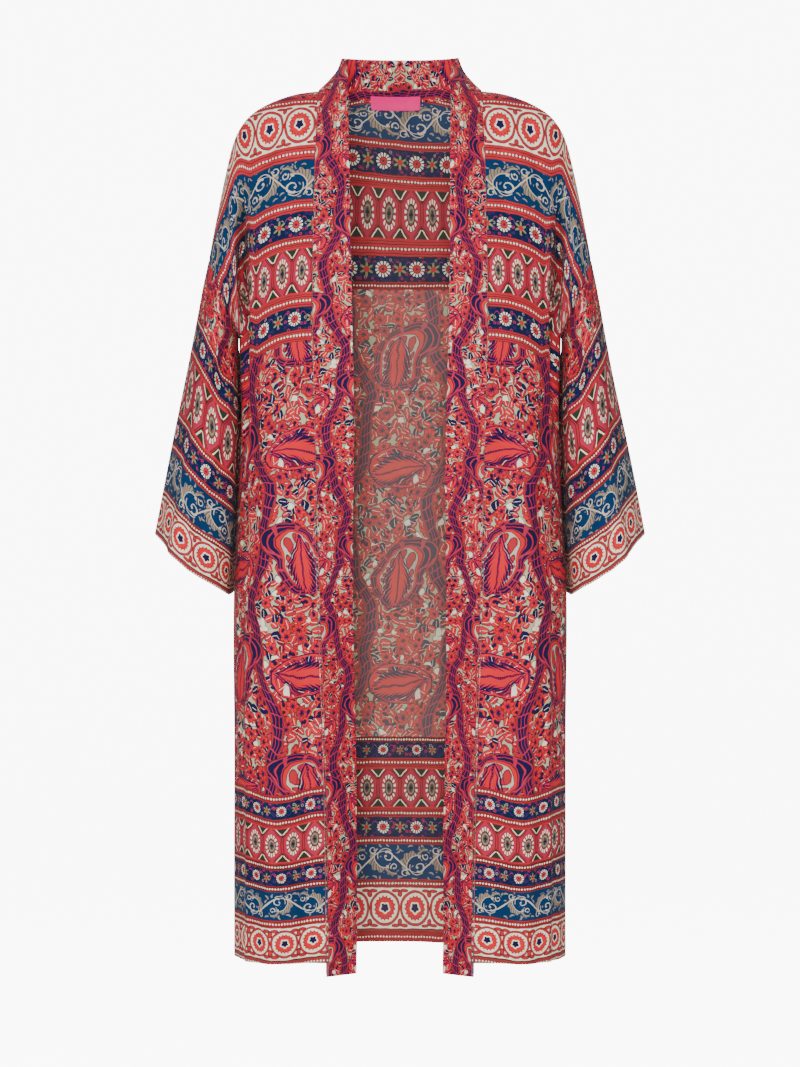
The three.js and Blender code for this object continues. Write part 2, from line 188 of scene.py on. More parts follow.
TOP_LINE = Table(
    "share x z",
    (0.0, NECK_HALF_WIDTH, 0.0),
    (0.16, 130.0, -5.0),
    (0.32, 162.0, -17.0),
    (0.45, 185.0, -33.0),
    (0.56, 200.0, -57.0),
    (0.7, 211.0, -98.0),
    (0.85, 222.0, -152.0),
    (1.0, 232.0, -206.0),
)
SECTIONS = Table(
    "depth side front back edge",
    (-ARMPIT_Z, 195.0, 121.0, 106.0, 104.5),
    (420.0, 193.0, 123.0, 104.0, 102.5),
    (600.0, 201.5, 125.0, 109.0, 99.5),
    (800.0, 201.0, 128.0, 118.0, 94.5),
    (-HEM_Z, 201.0, 131.0, 127.0, 90.5),
)
RINGS = Table(
    "along x z reach_x reach_z front back",
    (0.0, 213.5, -253.0, 18.5, 47.0, 64.0, 60.0),
    (0.35, 226.0, -366.0, 28.0, 45.0, 74.0, 70.0),
    (0.7, 240.0, -479.0, 38.0, 41.0, 83.0, 79.0),
    (1.0, 252.0, -573.0, 45.0, 37.0, 90.0, 86.0),
)
BAND_TURN = Table(
    "down x y z",
    (-1.0, 0.0, -0.12, 0.99),
    (-0.5, -0.2, -0.05, 0.98),
    (-0.25, -0.53, -0.05, 0.845),
    (0.0, -0.72, -0.04, 0.69),
    (0.14, -0.78, -0.34, 0.42),
    (0.3, -0.88, -0.3, 0.1),
    (0.46, -0.93, 0.02, 0.0),
    (0.62, -0.86, 0.36, 0.0),
    (0.8, -0.74, 0.6, 0.0),
    (1.0, -0.69, 0.68, 0.0),
)
ARMHOLE_RISE, ARMHOLE_RUN = 47.0, 18.5  # the armhole's slant, up and across
ARMHOLE_OUT = unit(np.array([ARMHOLE_RISE, 0.0, -ARMHOLE_RUN]))
SLEEVE_SEAM_GAP = 0.3


@dataclass(frozen=True)
class Fold:
    """A soft fold along a line over its panel, between two places in shares of the panel.

    It is twice half_width wide, stands out by depth (in, if negative), and rises and dies over
    the two fades. lean makes one of its sides steeper, bow bends its line sideways.
    """

    start: tuple[float, float]
    end: tuple[float, float]
    half_width: float
    depth: float
    fade: tuple[float, float]
    lean: float = 0.0
    bow: float = 0.0

    def height(self, across: Array, down: Array) -> Array:
        """Returns how far the fold moves the cloth at places on the panel."""
        along = down - self.start[1]
        share = np.clip(along / (self.end[1] - self.start[1]), 0, 1)
        line = lerp(self.start[0], self.end[0], share) + self.bow * np.sin(np.pi * share)
        away = across - line
        width = self.half_width * np.where(away > 0, 1 + self.lean, 1 - self.lean)
        away = np.minimum(1, np.abs(away) / width)
        ends = smooth(0, self.fade[0], along) * smooth(0, self.fade[1], self.end[1] - down)
        return self.depth * (1 - away**2) ** 2 * ends


def folds(table: str) -> tuple[Fold, ...]:
    """Reads folds, one a line: start, end, half width, depth, both fades, and lean and bow."""
    made = []
    for line in table.strip().splitlines():
        x0, y0, x1, y1, half_width, depth, *rest = map(float, line.split())
        made.append(Fold((x0, y0), (x1, y1), half_width, depth, tuple(rest[:2]), *rest[2:]))
    return tuple(made)


# The main falls of the cloth, as on the solids
FRONT_FALLS = {
    1: folds("""
        0.56 0.16  0.755 0.56  0.11 -27  0.16 0.12
        0.3 0.44  0.36 1.3  0.3 9  0.3 0.1
        0 0.42  0 1.3  0.34 -27  0.5 0.1
        0.66 0.52  0.6 1.3  0.18 -1  0.25 0.1
    """),
    -1: folds("""
        0.555 0.15  0.765 0.58  0.11 -28  0.15 0.12
        0.34 0.4  0.42 1.3  0.3 9  0.3 0.1
        0 0.42  0 1.3  0.34 -27  0.5 0.1
        0.7 0.55  0.65 1.3  0.18 -1  0.22 0.1
    """),
}
BACK_FALLS = folds("""
    0.62 0.16  0.76 0.56  0.1 -24  0.15 0.12
    -0.62 0.16  -0.745 0.54  0.1 -24  0.15 0.12
    0.16 0.3  0.12 1.3  0.16 -11  0.4 0.1
    -0.2 0.36  -0.24 1.3  0.15 -10  0.4 0.1
    0.42 0.4  0.44 1.3  0.15 8  0.4 0.1
    -0.5 0.42  -0.52 1.3  0.15 8  0.4 0.1
    0.72 0.56  0.7 1.3  0.15 -4  0.3 0.1
    -0.76 0.56  -0.75 1.3  0.15 -4  0.3 0.1
""")
SLEEVE_FALLS = folds("""
    0.38 0.0  0.2 0.7  0.07 -9  0.2 0.3
    0.14 0.3  0.1 1.3  0.09 -5  0.3 0.1
    0.62 0.0  0.78 0.7  0.07 -9  0.2 0.3
    0.86 0.35  0.9 1.3  0.09 -5  0.3 0.1
""")
# Finer creases, in the sheets only
FRONT_CREASES = {
    1: folds("""
        0.54 0.17  0.73 0.55  0.05 7  0.08 0.14  -0.3
        0.595 0.17  0.775 0.56  0.036 -12  0.08 0.12  0.2
        0.2 0.03  0.42 0.34  0.07 -2.6  0.08 0.14  0.2 0.03
        0.06 0.1  0.22 0.5  0.08 -2.2  0.12 0.2  -0.2
        0.72 0.1  0.84 0.42  0.06 -3.2  0.1 0.12
        0.88 0.12  0.8 0.4  0.05 -2.4  0.1 0.1
        0.12 0.5  0.16 1.3  0.09 -3.2  0.2 0.1  0.2 0.02
        0.24 0.62  0.28 1.3  0.07 2.8  0.2 0.1  -0.2
        0.4 0.55  0.44 1.3  0.1 -3.4  0.25 0.1  0.1 -0.02
        0.5 0.7  0.54 1.3  0.06 2.6  0.15 0.1
        0.8 0.6  0.78 1.3  0.1 -1.6  0.2 0.1  0.2
        0.55 0.47  0.3 0.72  0.09 -2.2  0.08 0.14  0.3
    """),
    -1: folds("""
        0.535 0.16  0.735 0.57  0.05 7  0.08 0.14  -0.3
        0.59 0.16  0.78 0.58  0.036 -12  0.08 0.12  0.2
        0.16 0.04  0.4 0.36  0.08 -2.4  0.08 0.14  0.2 0.04
        0.08 0.14  0.2 0.46  0.07 -2.4  0.12 0.2  -0.2
        0.74 0.09  0.86 0.4  0.06 -3.0  0.1 0.12
        0.9 0.14  0.82 0.42  0.05 -2.6  0.1 0.1
        0.1 0.48  0.13 1.3  0.08 -3.4  0.2 0.1  -0.2 0.02
        0.26 0.58  0.31 1.3  0.08 2.6  0.2 0.1  0.2
        0.43 0.6  0.48 1.3  0.09 -3.2  0.2 0.1  0.1 -0.02
        0.55 0.66  0.57 1.3  0.06 2.4  0.15 0.1
        0.82 0.62  0.8 1.3  0.1 -1.6  0.2 0.1  0.2
        0.58 0.48  0.36 0.7  0.08 -2.0  0.08 0.14  0.3
    """),
}
BACK_CREASES = folds("""
    0.6 0.16  0.74 0.54  0.04 6  0.08 0.14  -0.3
    0.64 0.16  0.78 0.56  0.03 -8  0.08 0.12  0.2
    -0.6 0.16  -0.725 0.52  0.04 6  0.08 0.14  0.3
    -0.64 0.16  -0.765 0.54  0.03 -8  0.08 0.12  -0.2
    0.3 0.04  0.56 0.36  0.06 -2.8  0.1 0.16  0.2 0.03
    -0.32 0.05  -0.54 0.34  0.06 -2.6  0.1 0.16  -0.2 -0.03
    0.18 0.05  0.1 0.5  0.08 -2.4  0.12 0.2
    -0.14 0.06  -0.1 0.48  0.08 -2.2  0.12 0.2
    0.02 0.3  0.03 1.3  0.07 3.0  0.3 0.1  0.2 0.01
    0.28 0.5  0.3 1.3  0.06 -3.2  0.2 0.1  -0.2 0.015
    -0.34 0.46  -0.37 1.3  0.06 -3.0  0.2 0.1  0.2 -0.01
    0.56 0.56  0.58 1.3  0.06 -3.2  0.2 0.1
    -0.64 0.6  -0.65 1.3  0.06 -2.8  0.2 0.1
    0.88 0.12  0.84 0.4  0.04 -2.6  0.1 0.1
    -0.9 0.14  -0.85 0.42  0.04 -2.6  0.1 0.1
""")
SLEEVE_CREASES = {
    1: folds("""
        0.3 0.05  0.14 0.6  0.035 -3.2  0.15 0.25  0.3 0.02
        0.43 0.1  0.27 0.95  0.035 -2.6  0.2 0.3  0.2
        0.2 0.45  0.19 1.3  0.04 2.4  0.25 0.1  0.2
        0.3 0.6  0.32 1.3  0.045 -2.6  0.25 0.1
        0.05 0.2  0.04 1.1  0.04 -1.8  0.3 0.3
        0.7 0.05  0.86 0.65  0.035 -3.0  0.15 0.25  -0.3
        0.72 0.5  0.7 1.3  0.045 -2.6  0.25 0.1
    """),
    -1: folds("""
        0.31 0.04  0.16 0.56  0.035 -3.0  0.15 0.25  0.3 0.02
        0.42 0.12  0.25 0.9  0.04 -2.8  0.2 0.3  0.2
        0.17 0.5  0.16 1.3  0.04 2.6  0.25 0.1  0.2
        0.28 0.55  0.29 1.3  0.045 -2.4  0.25 0.1
        0.06 0.25  0.05 1.1  0.04 -1.8  0.3 0.3
        0.69 0.06  0.84 0.6  0.035 -3.2  0.15 0.25  -0.3
        0.74 0.45  0.73 1.3  0.045 -2.4  0.25 0.1
    """),
}


def section_point(turn: Array, z: Array, facing: int) -> Array:
    """Returns points of level sections of the body, 0 at the centre and 1 at the side seam."""
    angle = turn * QUARTER
    depth = SECTIONS.read("front" if facing < 0 else "back", -z)
    power = 2 / SECTION_POWER
    side = SECTIONS.read("side", -z)
    return stack(
        side * signed_power(np.sin(angle), power),
        facing * depth * signed_power(np.cos(angle), power),
        z,
    )


def over_shoulder(
    top: Array, bottom: Array, down: Array, over_arm: Array, arm_depth: float, straight: Array
) -> Array:
    """A column of cloth from the top of the shoulder to the armpit level.

    Args:
        top: Points on the shoulder line.
        bottom: Points at the armpit level.
        down: Share of the way down.
        over_arm: 0 over the chest, 1 round the arm.
        arm_depth: Depth of the armhole, with its sign.
        straight: 0 falls like an oval, 1 straight.

    Returns:
        The points.
    """
    quarter = down * QUARTER
    eased = lerp(1 - np.cos(quarter), down, straight)
    chest = stack(
        lerp(top[..., 0], bottom[..., 0], down * down * (3 - 2 * down)),
        lerp(top[..., 1], bottom[..., 1], np.sin(quarter)),
        lerp(top[..., 2], bottom[..., 2], eased),
    )
    round_arm = ((1 - np.cos(down * np.pi)) / 2)[..., None]
    arm = lerp(top, bottom, round_arm)
    arm[..., 1] += arm_depth * np.sin(down * np.pi)
    return lerp(chest, arm, over_arm[..., None])


def top_point(share: Array) -> Array:
    """Returns points of the line along the top of the shoulder and arm."""
    return stack(TOP_LINE.read("x", share), 0.0 * share, TOP_LINE.read("z", share))


def below_armpit(down: Array) -> tuple[Array, Array]:
    """Returns each place's height below the armpit, and its share of the way down to it."""
    z = lerp(ARMPIT_Z, HEM_Z, (down - UPPER_SHARE) / (1 - UPPER_SHARE))
    return np.minimum(z, ARMPIT_Z), down / UPPER_SHARE


def front_form(across: Array, down: Array) -> Array:
    """The front before its folds, for the +X side.

    Args:
        across: 0 at the front edge, 1 at the armhole or side seam.
        down: 0 on the shoulder, 1 at the hem.

    Returns:
        The points.
    """
    across, down = np.broadcast_arrays(across, down)
    z, fall = below_armpit(down)
    share = SECTIONS.read("edge", -z) / SECTIONS.read("side", -z)
    turn = lerp(np.arcsin(share ** (SECTION_POWER / 2)) / QUARTER, 1.0, across)
    upper = over_shoulder(
        top_point(across),
        section_point(turn, ARMPIT_Z + 0 * z, -1),
        fall,
        smooth(ARM_BEGINS, 1, across),
        FRONT_ARM_DEPTH,
        0.0 * down,
    )
    return np.where((down > UPPER_SHARE)[..., None], section_point(turn, z, -1), upper)


def neck_point(share: Array, fall: Array) -> Array:
    """Returns points of the back neckline and of what falls from it."""
    angle = share * QUARTER
    softened = smooth(0, NECK_SOFTENS, fall)
    depth = lerp(np.cos(angle), (1 + np.cos(2 * angle)) / 2, softened)
    width = lerp(np.sin(angle), share, softened)
    return stack(NECK_HALF_WIDTH * width, NECK_BACK * depth, -NECK_DIP * depth)


def back_form(across: Array, down: Array) -> Array:
    """The back before its folds, from -1 at the left seam through 0 at the centre to 1."""
    across, down = np.broadcast_arrays(across, down)
    out = np.abs(across)
    z, fall = below_armpit(down)
    shoulder = (out - NECK_SHARE) / (1 - NECK_SHARE)
    on_neck = (shoulder <= 0)[..., None]
    top = np.where(on_neck, neck_point(out / NECK_SHARE, fall), top_point(np.maximum(shoulder, 0)))
    straight = BACK_STRAIGHTNESS * (1 - smooth(0.4 * NECK_SHARE, 1.8 * NECK_SHARE, out))
    bottom = section_point(out, ARMPIT_Z + 0 * z, 1)
    over_arm = smooth(ARM_BEGINS, 1, shoulder)
    upper = over_shoulder(top, bottom, fall, over_arm, BACK_ARM_DEPTH, straight)
    points = np.where((down > UPPER_SHARE)[..., None], section_point(out, z, 1), upper)
    points[..., 0] *= np.where(across < 0, -1, 1)
    return points


def sleeve_form(across: Array, along: Array) -> Array:
    """A sleeve before its folds, for the +X side: across goes once round from the top line."""
    across, along = np.broadcast_arrays(across, along)
    up, forward = np.cos(across * 2 * np.pi), np.sin(across * 2 * np.pi)
    depth = np.where(forward > 0, RINGS.read("front", along), RINGS.read("back", along))
    low = np.maximum(0, -up) * np.abs(forward)
    in_front = low * FRONT_WRAP * smooth(0, FRONT_WRAP_SHARE, along)
    behind = low * np.abs(forward) * BACK_WRAP * smooth(0, BACK_WRAP_SHARE, along)
    wrap = np.where(forward > 0, in_front, behind)
    points = stack(
        RINGS.read("x", along) + up * RINGS.read("reach_x", along) - wrap,
        -forward * depth,
        RINGS.read("z", along) + up * RINGS.read("reach_z", along)
        - CUFF_SAG * np.abs(forward) * along,
    )
    return points + ARMHOLE_OUT * SLEEVE_SEAM_GAP


def outward(form: Form, across: Array, down: Array, sign: int) -> Array:
    """Returns the outward direction of a form at places on it."""
    along_across = form(across + PROBE, down) - form(across - PROBE, down)
    along_down = form(across, down + PROBE) - form(across, down - PROBE)
    return unit(np.cross(along_down, along_across) * sign)


def panel_fade(across: Array, down: Array) -> Array:
    """Returns how much of its folds a panel shows: none at its armhole and shoulder seams."""
    return (1 - smooth(0.92, 1, np.abs(across))) * smooth(0, 0.06, down)


def sleeve_fade(across: Array, along: Array) -> Array:
    """Returns how much of its folds a sleeve shows: none at the armhole."""
    return smooth(0, 0.12, along)


@dataclass
class Cloth:
    """A form with folds in it."""

    form: Form
    folds: tuple[Fold, ...]
    sign: int
    fade: Callable[[Array, Array], Array]
    around: bool = False

    def points(self, across: Array, down: Array) -> Array:
        """Returns points of the folded cloth at places on the panel."""
        place = across % 1.0 if self.around else across
        height = sum(fold.height(place, down) for fold in self.folds)
        height = height * self.fade(across, down)
        way_out = outward(self.form, across, down, self.sign)
        return self.form(across, down) + way_out * height[..., None]

    def sampled(self, across: Array, down: Array) -> tuple[Array, Array]:
        """Samples the cloth over a grid.

        Args:
            across: The columns' places.
            down: The rows' places.

        Returns:
            Points and outward directions, rows first.
        """
        grid_across, grid_down = np.meshgrid(across, down)
        return (
            self.points(grid_across, grid_down),
            outward(self.points, grid_across, grid_down, self.sign),
        )


def lengths(points: Array, axis: int) -> Array:
    """Returns the length run along each line of a grid, from 0 at its start."""
    steps = np.linalg.norm(np.diff(points, axis=axis), axis=-1)
    start = np.zeros_like(np.take(steps, [0], axis=axis))
    return np.cumsum(np.concatenate([start, steps], axis=axis), axis=axis)


@dataclass
class Sheet:
    """A grid of cloth: outer points, outward directions and cloth coordinates, rows first."""

    points: Array
    normals: Array
    cloth: Array

    def turned_up(self) -> "Sheet":
        """Returns the sheet with its last edge folded to the inside, as at a hem."""
        run = lengths(self.points, 0)
        above = run[-1] - run
        edge, out = self.points[-1], self.normals[-1]
        down = unit(self.points[-1] - self.points[-2])
        radius = CLOTH + HEM_GAP / 2
        centre = edge - out * radius
        points, normals, cloth = [self.points], [self.normals], [self.cloth]
        for angle in np.linspace(0, np.pi, HEM_ROUND_STEPS + 2)[1:-1]:
            way = out * math.cos(angle) + down * math.sin(angle)
            points.append((centre + way * radius)[None])
            normals.append(way[None])
            cloth.append((self.cloth[-1] - [0, radius * angle])[None])
        for height in np.linspace(0, HEM_TURN_UP, HEM_UP_STEPS):
            row = [
                np.stack([np.interp(-height, -above[:, j], self.points[:, j, c]) for c in range(3)])
                for j in range(edge.shape[0])
            ]
            turned = np.array(row) - out * 2 * radius
            points.append(turned[None])
            normals.append(-out[None])
            cloth.append((self.cloth[-1] - [0, radius * np.pi + height])[None])
        return Sheet(np.concatenate(points), np.concatenate(normals), np.concatenate(cloth))


def new_mesh_object(name: str, vertices: Array, faces: list[tuple[int, ...]]) -> bpy.types.Object:
    """Makes an object from points in millimetres and faces.

    Args:
        name: The piece's name.
        vertices: The points.
        faces: Lists of point numbers.

    Returns:
        The object, in the scene.
    """
    mesh = bpy.data.meshes.new(name)
    mesh.from_pydata((np.asarray(vertices) * MM).tolist(), [], faces)
    mesh.polygons.foreach_set("use_smooth", [True] * len(mesh.polygons))
    mesh.update()
    thing = bpy.data.objects.new(name, mesh)
    bpy.context.collection.objects.link(thing)
    return thing


def select_only(thing: bpy.types.Object) -> None:
    """Deselects everything, then selects one object and makes it the active one."""
    for other in bpy.context.view_layer.objects:
        other.select_set(False)
    thing.select_set(True)
    bpy.context.view_layer.objects.active = thing


def build_wall(
    name: str, sheet: Sheet, facing: int, looped: bool = False, thickness: float = CLOTH
) -> bpy.types.Object:
    """Builds a closed thin wall from a sheet, with its cloth coordinates as a UV map in metres.

    Args:
        name: The piece's name.
        sheet: The outer side.
        facing: 1 or -1, so that the faces point outwards.
        looped: True where the last column meets the first, as round a sleeve.
        thickness: The wall's thickness.

    Returns:
        The object: material 0 is its outer side and its edges, 1 its inner side.
    """
    points = sheet.points[:, :-1] if looped else sheet.points
    normals = sheet.normals[:, :-1] if looped else sheet.normals
    rows, columns = points.shape[:2]
    outer = points - normals * INSET
    inner = points - normals * (INSET + thickness)
    vertices = np.concatenate([outer.reshape(-1, 3), inner.reshape(-1, 3)])
    faces: list[tuple[int, ...]] = []
    places: list[tuple[int, int]] = []
    inside: list[int] = []

    def add(corners: list[tuple[int, int, int]], slot: int) -> None:
        """Adds one face by its corners, each a layer, a row and a column."""
        turned = corners if facing > 0 else corners[::-1]
        faces.append(tuple((a * rows + i) * columns + j % columns for a, i, j in turned))
        places.extend((i, j) for _, i, j in turned)
        inside.append(slot)

    count = columns if looped else columns - 1
    for i in range(rows - 1):
        for j in range(count):
            k, m = i + 1, j + 1
            add([(0, i, j), (0, k, j), (0, k, m), (0, i, m)], 0)
            add([(1, i, j), (1, i, m), (1, k, m), (1, k, j)], 1)
        if not looped:
            last = columns - 1
            add([(0, i, 0), (1, i, 0), (1, i + 1, 0), (0, i + 1, 0)], 0)
            add([(0, i, last), (0, i + 1, last), (1, i + 1, last), (1, i, last)], 0)
    for j in range(count):
        m, last = j + 1, rows - 1
        add([(0, 0, j), (0, 0, m), (1, 0, m), (1, 0, j)], 0)
        add([(0, last, j), (1, last, j), (1, last, m), (0, last, m)], 0)

    thing = new_mesh_object(name, vertices, faces)
    mesh = thing.data
    layer = mesh.uv_layers.new(name="cloth")
    index = np.array(places)
    uv = sheet.cloth[index[:, 0], index[:, 1]] * MM
    layer.data.foreach_set("uv", uv.astype(np.float32).ravel())
    mesh.polygons.foreach_set("material_index", inside)
    select_only(thing)
    bpy.ops.object.shade_smooth_by_angle(angle=math.radians(SMOOTH_BELOW))
    return thing


def grooved(points: Array, normals: Array, edge: Array) -> Array:
    """Sinks a sheet's points a little towards its seams.

    Args:
        points: The sheet's points.
        normals: Their outward directions.
        edge: Each point's distance from the nearest seam, in millimetres.

    Returns:
        The moved points.
    """
    depth = SEAM_GROOVE * (1 - smooth(0, SEAM_WIDTH, edge))
    return points - normals * depth[..., None]


def ripple(u: Array, v: Array, seed: float) -> Array:
    """Returns slow unevenness of hanging cloth, within about a millimetre either way."""
    return (
        0.55 * np.sin(u / 23 + seed) * np.sin(v / 61 + 2.1 * seed)
        + 0.4 * np.sin(u / 13 - v / 97 + 1.7 * seed)
        + 0.3 * np.sin(u / 37 + v / 43 + 0.6 * seed)
    )


UPPER_ROWS = 58
LOWER_ROWS = 150
FRONT_COLUMNS = 62
NECK_COLUMNS = 22
SLEEVE_ROWS = 72


def eased_steps(count: int, pull: float) -> Array:
    """Returns shares from 0 to 1 that lie closer together at both ends."""
    share = np.linspace(0, 1, count + 1)
    return share - pull * np.sin(2 * np.pi * share)


UPPER_PLACES = eased_steps(UPPER_ROWS, 0.04)
PANEL_DOWN = np.concatenate([
    UPPER_PLACES * UPPER_SHARE,
    np.linspace(UPPER_SHARE, 1, LOWER_ROWS + 1)[1:],
])
FRONT_ACROSS = eased_steps(FRONT_COLUMNS, 0.03)
HALF_BACK = np.concatenate([
    np.linspace(0, NECK_SHARE, NECK_COLUMNS + 1),
    lerp(NECK_SHARE, 1.0, FRONT_ACROSS[1:]),
])
BACK_ACROSS = np.concatenate([-HALF_BACK[:0:-1], HALF_BACK])
BACK_MIDDLE = len(BACK_ACROSS) // 2


def level_map(edge: Array) -> Callable[[Array], Array]:
    """Maps heights to cloth lengths along a panel's front or centre column.

    Args:
        edge: The column's points, from the shoulder down.

    Returns:
        A function from heights to lengths of cloth.
    """
    run = lengths(edge, 0)
    start = run[0]

    def length_at(z: Array) -> Array:
        """Returns the length of cloth above each height."""
        return np.interp(-z, -edge[:, 2], run - start)

    return length_at


# How far down the print each place of the line along the top of the shoulder and arm lies
PRINT_ON_TOP = Table(
    "share length",
    (0.0, 0.0),
    (0.16, 14.0),
    (0.32, 34.0),
    (0.45, 50.0),
    (0.56, 62.0),
    (0.7, 70.0),
    (0.85, 84.0),
    (0.93, 96.0),
    (1.0, 108.0),
)
CREASE_SHARE = 0.48  # where the chest's cloth folds over towards the arm
DROP_AT_TOP = 10.5  # how much lower the borders lie there than at the front edge
DROP_BELOW = 20.0
BACK_NECK_LENGTH = 60.0  # the back neckline is cut this far into the print
NECK_TILT = 7.0  # how far off level the print lies there
HEM_SWAG = 11.0  # how much lower the borders hang in the middle of a front


def border_lengths(points: Array, shoulder: Array, level_column: int, cut: float) -> Array:
    """The cloth length of each place below the shoulder fold, on which the borders lie.

    Near the front edge the borders lie level with a drop towards the arm; round the arm they
    run along the top line; below the waist they are level all round.

    Args:
        points: A panel's points, rows first.
        shoulder: Each column's share of the way from the neck point to the armhole.
        level_column: The column that the level borders are measured on.
        cut: How far the neckline is cut into the print at that column.

    Returns:
        Lengths in millimetres.
    """
    z, top = points[..., 2], points[0, :, 2][None]
    length_at = level_map(points[:, level_column])
    run = lengths(points, 0)
    drop = lerp(DROP_AT_TOP, DROP_BELOW, smooth(0, 80, top - z))
    drop = drop * (np.minimum(shoulder, 0.56) / CREASE_SHARE)[None] ** 2
    level = length_at(z + drop * (1 - smooth(400, 700, -z))) + cut
    from_top = run + PRINT_ON_TOP.read("length", shoulder)[None]
    if cut:
        inset = np.where(shoulder > 0, 0.0, points[0, :, 1] / points[0, level_column, 1] * cut)
        from_top = from_top + inset[None]
        level = level - NECK_TILT * np.tanh(points[..., 0] / 70) * (1 - smooth(60, 260, -z))
        inner = (1 - smooth(0.02, 0.4, shoulder))[None] * smooth(0, 30, run)
        level = lerp(from_top, level, np.maximum(smooth(60, 320, run), inner))
    on_arm = smooth(0.46, 0.62, shoulder)[None] * (1 - smooth(300, 650, -z))
    return lerp(level, from_top, on_arm)


def panel_sheet(cloth: Cloth, across: Array, mirrored_side: bool = False) -> tuple[Array, Array]:
    """Samples a panel's cloth with its shoulder normals turned level.

    Args:
        cloth: The folded cloth.
        across: The columns' places.
        mirrored_side: True for the panel on the -X side.

    Returns:
        Points and outward directions.
    """
    points, normals = cloth.sampled(across, PANEL_DOWN)
    on_shoulder = np.abs(points[0, :, 0]) >= NECK_HALF_WIDTH
    normals[0, on_shoulder, 1] = 0
    normals[0] = unit(normals[0])
    if mirrored_side:
        points, normals = points * OTHER_SIDE, normals * OTHER_SIDE
    return points, normals


def hemmed_sheet(
    points: Array, normals: Array, v: Array, fall: Array, seed: float, middle: int = 0
) -> Sheet:
    """Makes a sheet with soft ripples, grooves at its seams and its hem turned up.

    Args:
        points: The piece's points, rows first.
        normals: Their outward directions.
        v: The cloth's length down the print at each place.
        fall: Each place's distance from the top seam.
        seed: Where the ripples start.
        middle: The column that the cloth's width is measured from.

    Returns:
        The sheet.
    """
    u = lengths(points, 1)
    edge = np.minimum(fall, np.minimum(u, u[:, -1:] - u))
    calm = smooth(0, RIPPLE_BEGINS, edge)
    points = points + normals * (ripple(u, v, seed) * calm)[..., None]
    points = grooved(points, normals, edge)
    cloth = np.stack([u - u[:, middle:middle + 1], v], axis=-1)
    return Sheet(points, normals, cloth).turned_up()


class CoatShape:
    """The sheets of the whole coat, with the walls that meet at a seam turned the same way."""

    def __init__(self) -> None:
        """Samples every panel and sleeve, aligns their seams and lays out the cloth."""
        self.back_points, self.back_normals = panel_sheet(
            Cloth(back_form, BACK_FALLS + BACK_CREASES, -1, panel_fade), BACK_ACROSS
        )
        self.front: dict[int, tuple[Array, Array]] = {}
        self.sleeve: dict[int, tuple[Array, Array]] = {}
        around = np.concatenate([-UPPER_PLACES[:0:-1] / 2, UPPER_PLACES / 2])
        for side in (-1, 1):
            folds = FRONT_FALLS[side] + FRONT_CREASES[side]
            points, normals = panel_sheet(
                Cloth(front_form, folds, 1, panel_fade), FRONT_ACROSS, side < 0
            )
            folds = SLEEVE_FALLS + SLEEVE_CREASES[side]
            tube = Cloth(sleeve_form, folds, -1, sleeve_fade, around=True)
            ring_points, ring_normals = tube.sampled(around, np.linspace(0, 1, SLEEVE_ROWS + 1))
            ring_normals[:, 0] = ring_normals[:, -1]
            if side < 0:
                ring_points, ring_normals = ring_points * OTHER_SIDE, ring_normals * OTHER_SIDE
            self.align(normals, -1, side, 1, ring_normals)
            self.align(self.back_normals, -1 if side > 0 else 0, side, -1, ring_normals)
            self.front[side] = (points, normals)
            self.sleeve[side] = (ring_points, ring_normals)

    @staticmethod
    def align(normals: Array, column: int, side: int, way: int, ring: Array) -> None:
        """Turns a panel's seam column and the sleeve's first ring half-way to each other.

        Args:
            normals: The panel's outward directions.
            column: Its seam column.
            side: -1 or 1, the side of the coat.
            way: 1 for the front, -1 for the back.
            ring: The sleeve's outward directions.
        """
        top = UPPER_ROWS
        for i in range(top):
            meeting = ring[0, top + way * i] + normals[i, column]
            if i == 0:
                meeting = ring[0, top] * [1, 0, 1]
            normals[i, column] = unit(meeting)
            ring[0, top + way * i] = normals[i, column]
        armpit = unit(np.array([-side * ARMHOLE_RUN, 0, -ARMHOLE_RISE]))
        normals[top, column] = armpit
        ring[0, 0] = ring[0, -1] = armpit
        normals[top + 1:, column] = [side, 0, 0]

    def front_sheet(self, side: int) -> Sheet:
        """Returns one front, hem turned up."""
        points, normals = self.front[side]
        v = border_lengths(points, FRONT_ACROSS, 0, 0.0)
        low, out = -points[..., 2], np.abs(points[..., 0])
        seen = (out - out[:, :1]) / (np.max(out, axis=1, keepdims=True) - out[:, :1])
        swag = np.sin(np.pi * np.clip(seen, 0, 1)) ** 2 * HEM_SWAG
        v = v - swag * smooth(560, 820, low) * (1 - 0.6 * smooth(820, -HEM_Z, low))
        return hemmed_sheet(points, normals, v, lengths(points, 0), 1.3 * side)

    def back_sheet(self) -> Sheet:
        """Returns the back, hem turned up."""
        points, normals = self.back_points, self.back_normals
        shoulder = np.clip((np.abs(BACK_ACROSS) - NECK_SHARE) / (1 - NECK_SHARE), 0, 1)
        v = border_lengths(points, shoulder, BACK_MIDDLE, BACK_NECK_LENGTH)
        return hemmed_sheet(points, normals, v, lengths(points, 0), 2.9, BACK_MIDDLE)

    def sleeve_sheet(self, side: int) -> Sheet:
        """Returns one sleeve, cuff turned in."""
        points, normals = self.sleeve[side]
        v = np.linspace(0, SLEEVE_LENGTH, SLEEVE_ROWS + 1)[:, None] + 0 * points[..., 0]
        return hemmed_sheet(points, normals, v, v, 4.1 * side, UPPER_ROWS)


